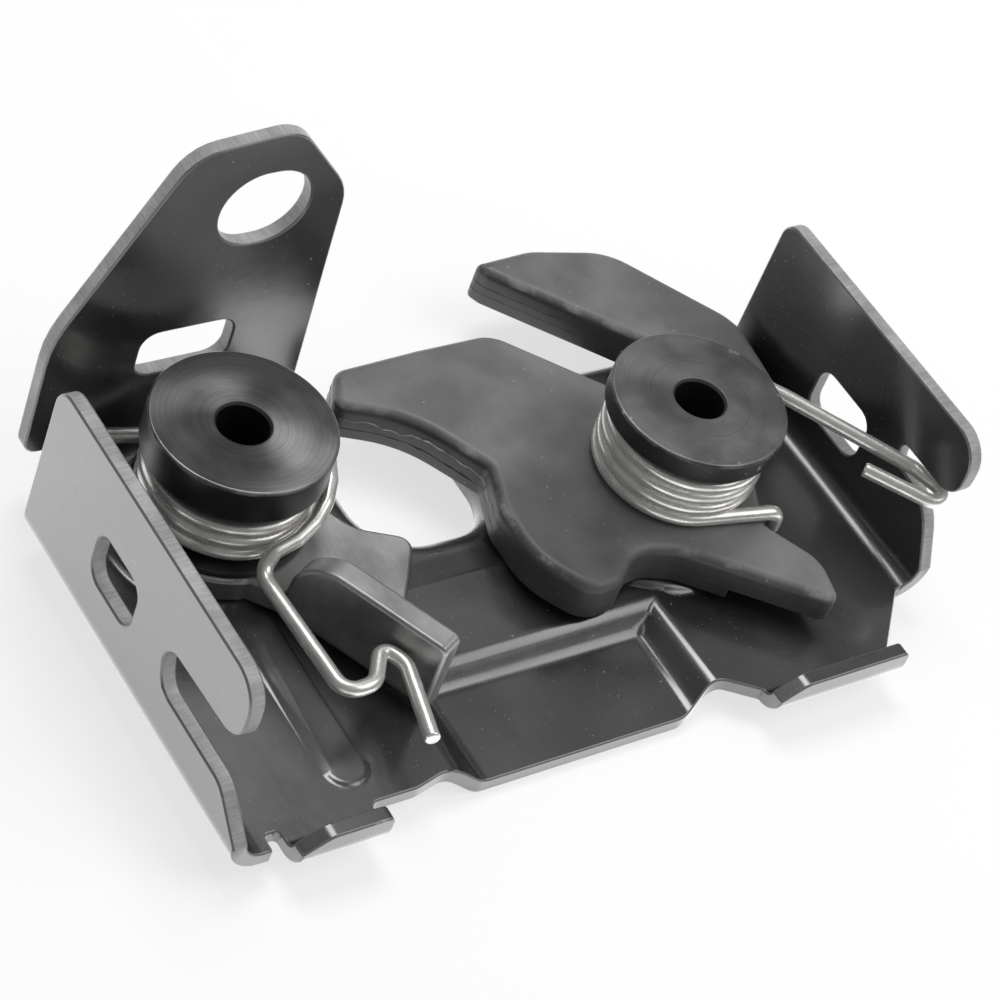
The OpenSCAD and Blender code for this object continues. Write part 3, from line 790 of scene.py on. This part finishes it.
def tube(name: str, route: np.ndarray, radius: float, sides: int = 18) -> Object:
    """Round wire along a route.

    At each station a circle stands across the route. Its start direction is carried from station to
    station with the least turn, so the surface does not twist. A smaller circle past each end makes
    a chamfer.

    Args:
        name: the object's name.
        route: stations in millimetres.
        radius: the wire's radius.
        sides: points in a circle.
    Returns:
        The object, with the attributes along (metres) and around (turns).
    """
    chamfer_out, chamfer_in = 0.22, 0.25
    ahead = unit(np.gradient(route, axis=0))
    side = np.empty_like(route)
    side[0] = unit(np.cross(ahead[0], [0.3, 0.2, 0.93]))
    for i in range(1, len(route)):
        side[i] = unit(side[i - 1] - ahead[i] * (side[i - 1] @ ahead[i]))
    third = np.cross(ahead, side)
    a = np.linspace(0, 2 * math.pi, sides, endpoint=False)
    ring = side[:, None] * np.cos(a)[None, :, None] + third[:, None] * np.sin(a)[None, :, None]
    tips = [((route[k] + way * chamfer_out * ahead[k])[None, None]
             + (radius - chamfer_in) * ring[k][None]) for k, way in ((0, -1), (-1, 1))]
    grid = np.concatenate([tips[0], route[:, None] + radius * ring, tips[1]])
    obj = grid_mesh(name, grid, False, True, caps=True)
    length = lengths(route)
    length = np.concatenate([length[:1], length, length[-1:]]) * MM
    point_numbers(obj, "along", np.repeat(length, sides))
    point_numbers(obj, "around", np.tile(np.abs(a / math.pi - 1), len(grid)))
    return obj


def cad_copy(name: str, node: str, flat: float = 0.3) -> tuple[Object, BMesh]:
    """A copy of a CAD node's mesh with its seams merged and its flat faces joined.

    Args:
        name: the new object's name.
        node: the CAD node.
        flat: faces within this many degrees of each other become one.
    Returns:
        The object, whose mesh is still empty, and the bmesh to finish and write into it.
    """
    bm = bmesh.new()
    bm.from_mesh(frame["nodes"][node].data)
    bmesh.ops.remove_doubles(bm, verts=bm.verts, dist=3e-6)
    bmesh.ops.dissolve_limit(bm, angle_limit=math.radians(flat), verts=bm.verts, edges=bm.edges)
    return linked(name, bpy.data.meshes.new(name)), bm


def settle(obj: Object, bm: BMesh) -> None:
    """Writes a finished bmesh into its object, and frees it.

    Args:
        obj: the object.
        bm: the bmesh.
    """
    bm.to_mesh(obj.data)
    bm.free()
    obj.data.shade_smooth()
    sharpen(obj)


def modify(obj: Object, name: str, kind: str, **settings: object) -> None:
    """Adds a modifier.

    Args:
        obj: the object.
        name: the modifier's name.
        kind: the modifier's type.
        settings: its properties.
    """
    modifier = obj.modifiers.new(name, kind)
    for key, value in settings.items():
        setattr(modifier, key, value)


def rounded_edges(obj: Object, width: float, limit: Union[float, str], segments: int = 3,
                  material: int = -1) -> None:
    """Rounds edges with a bevel.

    Args:
        obj: the object.
        width: the bevel's width in millimetres.
        limit: the least angle in degrees, or the edge attribute that holds each edge's share.
        segments: steps across the bevel.
        material: index of its material, -1 for that of the faces beside it.
    """
    if isinstance(limit, str):
        chosen = {"limit_method": "WEIGHT", "edge_weight": limit}
    else:
        chosen = {"limit_method": "ANGLE", "angle_limit": math.radians(limit)}
    modify(obj, "edge_round", "BEVEL", width=width * MM, segments=segments, material=material,
           use_clamp_overlap=False, miter_outer="MITER_ARC", **chosen)


def level_faces(obj: Object) -> None:
    """Keeps large flat faces flat in shading: a corner's normal follows the larger faces at it."""
    modify(obj, "flat_faces", "WEIGHTED_NORMAL", mode="FACE_AREA", weight=75, keep_sharp=True)


def carved(obj: Object, cutter: Object) -> Object:
    """Takes a cutter away from an object, and removes the cutter.

    Args:
        obj: the object to cut.
        cutter: a closed object.
    Returns:
        The same object with its new mesh.
    """
    modify(obj, "cut", "BOOLEAN", operation="DIFFERENCE", solver="EXACT", object=cutter)
    bpy.context.view_layer.update()
    seen = obj.evaluated_get(bpy.context.evaluated_depsgraph_get())
    result = bpy.data.meshes.new_from_object(seen)
    obj.modifiers.clear()
    obj.data = result
    result.shade_smooth()
    bpy.data.objects.remove(cutter, do_unlink=True)
    return obj


# ---- pieces


@dataclass
class Piece:
    """A visible piece that stands for one CAD node."""

    node: str
    body: str
    slot: str
    finishes: Sequence[Finish]
    obj: Optional[Object] = None

    def build(self) -> None:
        """Makes self.obj."""
        raise NotImplementedError

    def dress(self) -> None:
        """Gives self.obj its materials, in the order of their indices."""
        for finish in self.finishes:
            self.obj.data.materials.append(finish.make())

    def tie(self) -> None:
        """Lets the piece move with its body."""
        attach(self.obj, self.body)

    def report(self, obj: Object) -> None:
        """Logs one finished object."""
        log.info("%s: %d faces, body %s", obj.name, len(obj.data.polygons), self.body)

    def make(self) -> None:
        """Builds, dresses and ties the piece, and logs it."""
        self.build()
        self.dress()
        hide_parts(self.node)
        self.tie()
        self.report(self.obj)


@dataclass
class BasePlate(Piece):
    """The folded sheet: floor, flanges, ear, lips and rims, with soft pressings and cut edges."""

    edge: float = 0.28
    press: float = 0.85

    # Indices of the finishes; 1 to 3 are the cut edges.
    COAT, EDGE = 0, 4
    # Where flanges, ear and lips begin, and the floor's two ends, in millimetres.
    LEFT, RIGHT, FLANGE_Z = -88.3, 30.1, 8.2
    EAR_Y, EAR_Z, LIP_Y, LIP_Z = 31.0, 6.5, -35.0, 4.5
    FLOOR_LEFT, FLOOR_RIGHT = -88.5, 30.3
    # Turns of a fold, a pressing and a cut edge in degrees, and a long ridge in millimetres.
    FOLD, SOFT, HARD, RIDGE = 3.0, 18.0, 52.0, 8.0

    def sheet_way(self, centre: Vector, normal: Vector) -> int:
        """Tells the coat from the cut edges.

        A flange is sheet across X, the ear and the lips are sheet across Y, the floor across Z. A
        face that looks along its sheet is a cut edge.

        Args:
            centre: the face's middle in metres.
            normal: the face's normal.
        Returns:
            The material index: 0 for the coat, 1 to 3 for a cut edge by its sheet's way.
        """
        x, y, z = (c / MM for c in centre)
        if z > self.FLANGE_Z and (x < self.LEFT or x > self.RIGHT):
            return 1 if abs(normal.x) < 0.5 else self.COAT
        if y > self.EAR_Y and z > self.EAR_Z:
            return 2 if abs(normal.y) < 0.5 else self.COAT
        if y < self.LIP_Y and z < self.LIP_Z:
            return 2 if abs(normal.y) < 0.35 and normal.z < 0.5 else self.COAT
        inside = min(x - self.FLOOR_LEFT, self.FLOOR_RIGHT - x)
        return 3 if abs(normal.z) < 0.1 and 3.0 < z < 5.3 and inside < 3 else self.COAT

    def room(self, edges: Sequence[BMEdge], folds: Sequence[BMEdge],
             width: float) -> np.ndarray:
        """How much of a rounding fits at each edge.

        Five points along an edge are measured to every other fold. A fold counts where it lies
        beside the point, not ahead of it along the edge. The rounding takes at most 0.4 of the
        smallest distance, and an edge with room for less than 0.45 of it stays sharp.

        Args:
            edges: the edges to round.
            folds: all edges that may stand in the way.
            width: the rounding's width in millimetres.
        Returns:
            A share from 0 to 1 for each edge.
        """
        ends = np.array([[v.co for v in e.verts] for e in folds]) / MM
        names = np.array([[v.index for v in e.verts] for e in folds])
        start, run = ends[:, 0], ends[:, 1] - ends[:, 0]
        shares = []
        for edge in edges:
            a, b = (np.array(v.co) / MM for v in edge.verts)
            points = a + np.linspace(0.1, 0.9, 5)[:, None] * (b - a)
            gap = points[:, None] - start[None]
            t = np.sum(gap * run, -1) / np.maximum(np.sum(run * run, -1), 1e-9)
            gap = gap - np.clip(t, 0, 1)[..., None] * run
            length = np.linalg.norm(gap, axis=-1)
            along = np.abs(gap @ unit(b - a))
            own = np.isin(names, [v.index for v in edge.verts]).any(axis=1)
            beside = (along < 0.7 * length) & ~own[None]
            near = length[beside].min() if beside.any() else 99.0
            shares.append(min(1.0, 0.4 * near / width))
        return np.where(np.array(shares) < 0.45, 0.0, shares)

    def build(self) -> None:
        """Copies the CAD sheet, sorts its faces and rounds its pressings and cut edges.

        Edges that turn little and face up are pressings. Where three or more of them meet they stay
        sharp, but for a long ridge along X.
        """
        self.obj, bm = cad_copy("base_plate_sheet", self.node)
        bm.verts.index_update()
        for key in ("press_weight", "edge_weight"):
            bm.edges.layers.float.new(key)
        for face in bm.faces:
            face.material_index = self.sheet_way(face.calc_center_median(), face.normal)
        turn = {e: math.degrees(e.calc_face_angle(0.0)) for e in bm.edges if len(e.link_faces) == 2}
        folds = [e for e, angle in turn.items() if angle > self.FOLD]
        cut = [e for e in folds if turn[e] > self.HARD]
        pressed = [e for e in folds if self.SOFT < turn[e] <= self.HARD
                   and min(f.normal.z for f in e.link_faces) > 0.25]
        crowd = Counter(v.index for e in pressed for v in e.verts)
        pressed = [e for e in pressed if max(crowd[v.index] for v in e.verts) < 3
                   or abs(e.verts[0].co.x - e.verts[1].co.x) > self.RIDGE * MM]
        for key, edges, width in (("press_weight", pressed, self.press),
                                  ("edge_weight", cut, self.edge)):
            layer = bm.edges.layers.float[key]
            for edge, share in zip(edges, self.room(edges, folds, width)):
                edge[layer] = share
        settle(self.obj, bm)
        rounded_edges(self.obj, self.press, "press_weight", 4)
        rounded_edges(self.obj, self.edge, "edge_weight", 2, self.EDGE)
        level_faces(self.obj)


@dataclass(frozen=True)
class PartingLine:
    """Where the mould's halves meet: height, seed, fin, zigzag, and paleness at the hollow."""

    name: str
    z: float
    seed: int
    fin: float
    zigzag: float
    pale: float


@dataclass
class Claw(Piece):
    """The moulded claw: a loft with a softly rounded top, and the flash of its parting lines."""

    bottom: float = 6.3
    top: float = 12.9
    crown: float = 1.6
    foot: float = 0.5
    bore: float = 6.06
    gap: float = 0.35

    SLOT_END, SLOT_ANGLE, SLOT_HALF = np.array([7.3, 18.7]), math.radians(49), 6.0
    HOLLOW, HOLLOW_REACH = (-32.0, 14.0), 9.0
    RELIEF: ClassVar[list] = [[-4, -34], [20, -34], [20, -14], [7, -18], [-0.5, -18]]
    LINES: ClassVar[tuple] = (
        PartingLine("claw_flash_upper", 9.9, 7, 0.34, 0.8, 1.0),
        PartingLine("claw_flash_lower", 8.3, 11, 0.18, 0.15, 0.15),
    )

    def slot_point(self, across: float, along: float) -> list[float]:
        """A point of the slot, across its middle line and along it from its end."""
        c, s = math.cos(self.SLOT_ANGLE), math.sin(self.SLOT_ANGLE)
        return (self.SLOT_END + across * np.array([s, c]) + along * np.array([c, -s])).tolist()

    def outline(self) -> tuple[np.ndarray, np.ndarray]:
        """The claw's plan, with no convex corner tighter than the crown.

        Returns:
            Points at an even distance and the outward normal at each.
        """
        s, w = self.slot_point, self.SLOT_HALF
        tight = self.crown + 0.1
        tail = [[10.9, -30.4, tight], [13, -22, 7], [8.4, -13.6, 2.5], [13.5, -3, 6], [27.1, 8, 6]]
        rear = [[29.1, 23, 9], [16.6, 42, 10], [4, 45.4, 8], [-6.4, 45, tight]]
        slot = [s(w, -25.9) + [tight], s(w, 6) + [w], s(-w, 6) + [w], s(-w, -22.1) + [6]]
        finger = [[-24, 31.6, 30], [-38.6, 31.2, 2.5], [-42.4, 24.9, 2], [-32.8, 19.8, 18]]
        lobe = [[-26.2, 8.2, 1], [-29, 0.5, 5], [-29.3, -9, 14], [-24.2, -16.9, 6],
                [-19, -16.6, 4], [-13.4, -12, 6], [-7, -14.4, 8]]
        c = np.array([*tail, *rear, *slot, *finger, *lobe])
        path = spread(filleted(c[:, :2], c[:, 2], True), self.gap, True)
        after = np.roll(path, -1, axis=0)
        ahead = unit(after - np.roll(path, 1, axis=0))
        out = np.stack([ahead[:, 1], -ahead[:, 0]], axis=1)
        area = np.sum(path[:, 0] * after[:, 1] - after[:, 0] * path[:, 1])
        return path, out * np.sign(area)

    def loft(self) -> Object:
        """The jacket as rings of the outline.

        From the foot up, each ring is the outline drawn in by a quarter circle's run: r (1 - cos a)
        in, r (1 - sin a) from the face.

        Returns:
            The closed object.
        """
        path, out = self.outline()
        rise = np.radians(np.linspace(0, 90, 9))
        low = np.radians(np.linspace(90, 0, 4))
        inset = np.concatenate([self.foot * (1 - np.cos(low)), self.crown * (1 - np.cos(rise))])
        z = np.concatenate([self.bottom + self.foot * (1 - np.sin(low)),
                            self.top - self.crown * (1 - np.sin(rise))])
        plan = path[None] - out[None] * inset[:, None, None]
        height = np.broadcast_to(z[:, None, None], plan.shape[:2] + (1,))
        return bored_loft("claw_jacket_body", np.concatenate([plan, height], axis=2), self.bore)

    def flash(self, line: PartingLine) -> Object:
        """A thin ragged fin that follows the outline.

        Its reach is a sum of seeded noise at three lengths. It is tallest, and its height wanders
        most, on the hollow side of the front finger.

        Args:
            line: where and how ragged.
        Returns:
            The object, with the attribute pale.
        """
        path, out = self.outline()
        rng = np.random.default_rng(line.seed)
        count = len(path)

        def wander(length: int) -> np.ndarray:
            """Random heights from 0 to 1, joined by straight runs.

            Args:
                length: points in a run.
            Returns:
                A height for each point of the outline.
            """
            knots = rng.random(count // length + 2)
            knots[-1] = knots[0]
            return np.interp(np.arange(count), np.linspace(0, count, len(knots)), knots)

        far = np.sum((path - self.HOLLOW) ** 2, axis=1)
        hollow = np.exp(-far / (2 * self.HOLLOW_REACH ** 2))
        ragged = 0.4 * wander(3) + 0.3 * wander(8) + 0.3 * wander(30)
        fin = line.fin * np.clip(ragged - 0.30, 0.04, 1.0) * (0.45 + 1.3 * hollow)
        z = line.z + line.zigzag * (0.25 + hollow) * (wander(4) + wander(14) - 1.0)
        z = z + 0.3 * (wander(60) - 0.5)
        root = np.full(count, -0.15)
        section = [(root, -0.17), (fin, -0.05), (0.9 * fin, 0.05), (root, 0.17)]
        grid = np.stack([np.column_stack([path + out * reach[:, None], z + up])
                         for reach, up in section], axis=1)
        obj = grid_mesh(line.name, grid, True, True)
        point_numbers(obj, "pale", np.repeat(hollow * line.pale, len(section)))
        return obj

    def build(self) -> None:
        """Lofts the jacket and cuts the relief under its tail."""
        body = self.loft()
        relief = np.array(self.RELIEF, float)
        well = np.stack([np.column_stack([relief, np.full(len(relief), z)])
                         for z in (self.bottom - 2, self.bottom + 2)])
        self.obj = carved(body, grid_mesh("claw_relief", well, False, True, caps=True))
        sharpen(self.obj, 50)

    def dress(self) -> None:
        """Gives the claw its material, and adds the flash of its parting lines."""
        super().dress()
        pale = FlashFinish().make()
        for line in self.LINES:
            fin = self.flash(line)
            fin.data.materials.append(pale)
            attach(fin, self.body)
            self.report(fin)


@dataclass
class Pawl(Piece):
    """The pawl: a blanked plate with a bent-up tab, edges broken by tumbling."""

    edge: float = 0.55

    def build(self) -> None:
        """Copies the CAD plate and rounds its edges."""
        self.obj, bm = cad_copy("pawl_plate", self.node)
        settle(self.obj, bm)
        rounded_edges(self.obj, self.edge, 45.0)
        level_faces(self.obj)


@dataclass
class Pivot(Piece):
    """A turned and riveted pivot with a flat or slightly dished head."""

    axis: tuple[float, float] = (0.0, 0.0)
    shoulder: float = 13.0
    under: float = 23.4
    dish: float = 0.0

    # Radii, and the height of the head's face.
    BORE, SHANK, TAIL, NECK, HEAD = 3.65, 6.0, 8.5, 9.7, 13.0
    TOP = 26.98

    def build(self) -> None:
        """Turns the profile: radius, height and rounding of each corner, from the tail up."""
        profile = [[self.BORE, 0, 0.2], [6.5, 0, 0.4], [self.TAIL, 1.8, 0.6], [self.TAIL, 3, 0.1],
                   [self.SHANK, 3, 0.05], [self.SHANK, self.shoulder, 0.05],
                   [self.NECK, self.shoulder, 0.15], [self.NECK, self.under, 0.2],
                   [self.HEAD, self.under, 0.3], [self.HEAD, self.TOP, 0.4],
                   [4.0, self.TOP - self.dish, 0.15], [self.BORE, 26.5 - self.dish, 0.2]]
        p = np.array(profile)
        turned = filleted(p[:, :2], p[:, 2], True, 10.0)[::-1]
        self.obj = lathe(self.node + "_turned", turned, self.axis)
        sharpen(self.obj)


@dataclass
class Washer(Piece):
    """The dark collar under the pawl's spring."""

    inner: float = 9.8
    outer: float = 12.8
    thick: float = 0.8

    def build(self) -> None:
        """Turns the ring on the pawl pivot's shoulder."""
        low, high = PAWL_SHOULDER, PAWL_SHOULDER + self.thick
        p = [[self.inner, low], [self.outer, low], [self.outer, high], [self.inner, high]]
        self.obj = lathe("pawl_washer_ring", filleted(p, 0.2, True, 15.0), PAWL_AT, 128)
        sharpen(self.obj)


@dataclass
class Spring(Piece):
    """A torsion spring of round wire whose coil turns between the frame and the moving piece."""

    start: Triple = (0.0, 0.0, 0.0)
    end: Triple = (0.0, 0.0, 0.0)
    gap: float = 0.32

    @staticmethod
    def coil(first: float, sweep: float, z: float, step: float = 2.5) -> np.ndarray:
        """A clockwise helix that climbs by one turn's rise for each full turn.

        Args:
            first: angle of its first point in degrees.
            sweep: degrees that it turns.
            z: height of its first point.
            step: about the degrees from point to point.
        Returns:
            The points.
        """
        s = np.linspace(0, sweep, int(round(sweep / step)) + 1)
        return polar(COIL_R, first - s, z + TURN_RISE * s / 360)

    def route(self) -> np.ndarray:
        """The wire's stations about the pivot's axis, in millimetres."""
        raise NotImplementedError

    def build(self) -> None:
        """Carries the wire's circle along the route."""
        route = spread(self.route(), self.gap, False)
        centre = PAWL_AT if self.body == "pawl" else np.zeros(2)
        self.obj = tube(self.node + "_wire", route + np.append(centre, 0.0), WIRE_R)

    def tie(self) -> None:
        """Turns the coil from the fixed leg to the moving one."""
        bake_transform(self.obj, "frame", self.body, self.start, self.end)


class ClawSpring(Spring):
    """Spring of the claw: low leg on the tail, top leg hooked through the right flange."""

    def route(self) -> np.ndarray:
        """The low leg, the coil, five widening steps and the hooked leg.

        Returns:
            The stations.
        """
        z0, first, sweep, leg, leg_z = 14.1, -101.0, 1230.0, 12.7, 20.5
        z1 = z0 + TURN_RISE * sweep / 360
        a = math.radians(first)
        foot = COIL_R * np.array([math.cos(a), math.sin(a)])
        run = np.array([-math.sin(a), math.cos(a)])
        low = filleted([[*(foot + leg * run), z0 - 3.2], [*(foot + leg * run), z0],
                        [*(foot + 2 * run), z0]], 1.6, False)
        i = np.arange(5)
        swell = polar(COIL_R * (1 + 0.30 * (i + 1) / 5), first - sweep - 15 - 15 * i, z1 + 0.05 * i)
        top = filleted([swell[-1], [18.2, 0.6, z1 - 0.2], [30.5, -16.6, leg_z], [32.3, -22, leg_z],
                        [29.3, -23.6, leg_z], [22.7, -14.6, leg_z]], 2.0, False)
        return np.vstack([low, self.coil(first, sweep, z0), swell, top[1:]])


class PawlSpring(Spring):
    """Spring of the pawl: one leg along the ear, one down to the tab and past it."""

    def route(self) -> np.ndarray:
        """The ear's leg, the coil, a wider turn over it, the way down and the bent leg.

        Returns:
            The stations.
        """
        z0, first, sweep, ear_y, leg_z, over_r = 12.4, 74.0, 1080.0, 15.8, 14.2, 13.45
        z1 = z0 + TURN_RISE * sweep / 360
        a = math.radians(first)
        start = COIL_R * np.array([math.cos(a), math.sin(a)])
        fixed = np.array([[start[0] - 18, ear_y, z0],
                          [start[0] - 6, start[1] + 0.35 * (ear_y - start[1]), z0]])
        i = np.arange(1, 7)
        over = polar(COIL_R + (over_r - COIL_R) * i / 6, first - 15 * i, z1 + 0.12 * i)
        i = np.arange(1, 6)
        fall = z1 + 0.7 + (leg_z - z1 + 1.4) * i / 5
        down = polar(over_r + 0.1 * i, first - 90 - 15 * i, fall)
        way, out = np.array([0.446, -0.895]), np.array([-0.895, -0.446])
        foot = np.array([8.4, -31.5]) + 1.25 * out
        flat = [[-2.6, -15.4], [-1.8, -36.8], [3, -36.6], foot - 0.9 * way, foot + 3.2 * way,
                [5.6, -47]]
        leg = filleted([down[-1], *[[p[0], p[1], leg_z] for p in flat]], 3.0, False)
        return np.vstack([fixed, self.coil(first, sweep, z0), over, down, leg[1:]])


# ---- studio


@dataclass(frozen=True)
class Lamp:
    """A soft box: an area lamp with a radiance, aimed at the latch."""

    name: str
    at: Triple
    size: float
    radiance: float

    def make(self, aim: Vector) -> None:
        """Hangs the lamp. Its power is radiance times pi times its area.

        Args:
            aim: the point that it faces.
        """
        data = bpy.data.lights.new(self.name, "AREA")
        data.shape = "SQUARE"
        data.size = self.size
        data.energy = self.radiance * math.pi * self.size ** 2
        lamp = linked(self.name, data)
        lamp.location = self.at
        lamp.rotation_euler = (aim - Vector(self.at)).to_track_quat("-Z", "Y").to_euler()
        lamp.visible_camera = False


@dataclass
class Studio:
    """Pale floor, plain soft light and the photograph's viewing angle."""

    floor_z: float
    aim: Triple = (-0.027745, 0.002448, 0.012)
    eye: Triple = (-0.270445, -0.216885, 0.322040)
    roll: float = 22.6076
    lens: float = 116.984
    fill: float = 0.33
    sky: tuple[float, float] = (0.17, 0.20)
    patch: float = 0.16
    patch_way: Triple = (0.552, 0.425, 0.718)

    LAMPS: ClassVar[tuple[Lamp, ...]] = (
        Lamp("key", (0.43, -0.32, 0.71), 0.55, 2.15),
        Lamp("back", (0.05, 0.38, 0.95), 0.46, 5.3),
    )

    def camera(self) -> None:
        """The camera of the photograph: position, aim and roll fitted to the object's corners."""
        data = bpy.data.cameras.new("camera")
        data.sensor_width = 36.0
        data.lens = self.lens
        data.clip_start = 0.01
        camera = linked("camera", data)
        look = (Vector(self.aim) - Vector(self.eye)).to_track_quat("-Z", "Y").to_matrix().to_4x4()
        camera.matrix_world = (Matrix.Translation(self.eye) @ look
                               @ Matrix.Rotation(math.radians(self.roll), 4, "Z"))
        bpy.context.scene.camera = camera

    def floor(self) -> None:
        """A wide flat grid just under the latch."""
        side = np.linspace(-3000.0, 3000.0, 25)
        x, y = np.meshgrid(side, side, indexing="ij")
        grid = np.stack([x, y, np.full_like(x, self.floor_z / MM - 0.02)], -1)
        obj = grid_mesh("studio_floor", grid, False, False)
        obj.data.materials.append(FloorFinish().make())

    def world(self) -> None:
        """A plain grey sky, in mirrors dim on the camera's side and paler behind the latch."""
        world = bpy.data.worlds.new("studio")
        world.use_nodes = True
        bpy.context.scene.world = world
        g = Graph(world.node_tree)
        path = g.add("LightPath")
        behind = g.vector("DOT_PRODUCT", g.add("TexCoord").outputs["Generated"], self.patch_way)
        sky = g.plus(g.band(behind, 0.2, 1.0, *self.sky),
                     g.band(behind, 0.990, 0.9985, 0.0, self.patch))
        level = g.mix(g.mirrored(path), self.fill, sky)
        level = g.mix(path.outputs["Is Camera Ray"], level, 1.0)
        light = g.add("Background", {"Color": (1, 1, 1, 1), "Strength": level})
        g.add("OutputWorld", {"Surface": light.outputs[0]})

    def make(self) -> None:
        """Sets the whole studio up."""
        bpy.context.scene.view_settings.view_transform = "Standard"
        self.camera()
        self.floor()
        self.world()
        for lamp in self.LAMPS:
            lamp.make(Vector(self.aim))
        log.info("studio: %d lamps", len(self.LAMPS))


# ---- the latch


class BonnetLatch:
    """All pieces of the latch, in the order they are assembled."""

    def __init__(self) -> None:
        """Lists the pieces: CAD node, body, material slot, finishes, then a piece's own sizes."""
        pawl_axis = tuple(PAWL_AT)
        shears = [ShearFinish("shear_" + way.name.lower(), way) for way in SheetWay]
        matte = TurnedFinish("pivot_matte", (0.0, 0.0), 0.20, 0.44, 0.35, 0.7, 0.2)
        rings = TurnedFinish("pivot_rings", pawl_axis, 0.19, 0.30, 1.0, 0.0, 0.3)
        self.pieces: list[Piece] = [
            BasePlate("base_plate", "frame", "plate_coat", [CoatFinish(), *shears, EdgeFinish()]),
            Claw("claw", "claw", "claw_jacket", [JacketFinish()]),
            Pawl("pawl", "pawl", "pawl_steel", [SteelFinish()]),
            Pivot("claw_pivot", "frame", "pivot_coat", [matte], under=23.44),
            Pivot("pawl_pivot", "frame", "pivot_coat", [rings], axis=pawl_axis,
                  shoulder=PAWL_SHOULDER, under=21.3, dish=0.4),
            Washer("pawl_washer", "frame", "washer_black", [MatteFinish()]),
            ClawSpring("claw_spring", "claw", "spring_wire", [WireFinish("claw_spring_steel")],
                       start=(0, 0, 0.0204), end=(0, 0, 0.0142)),
            PawlSpring("pawl_spring", "pawl", "spring_wire", [WireFinish("pawl_spring_steel")],
                       start=(-0.0664, 0.0265, 0.014), end=(-0.0664, 0.001, 0.014)),
        ]

    def make(self) -> None:
        """Makes every piece."""
        for piece in self.pieces:
            piece.make()
        log.info("latch: %d pieces", len(self.pieces))


def main() -> None:
    """Builds the studio and the latch."""
    Studio(floor_z=min(v.z for v in start_bounds)).make()
    BonnetLatch().make()


if __name__ == "__main__":
    main()
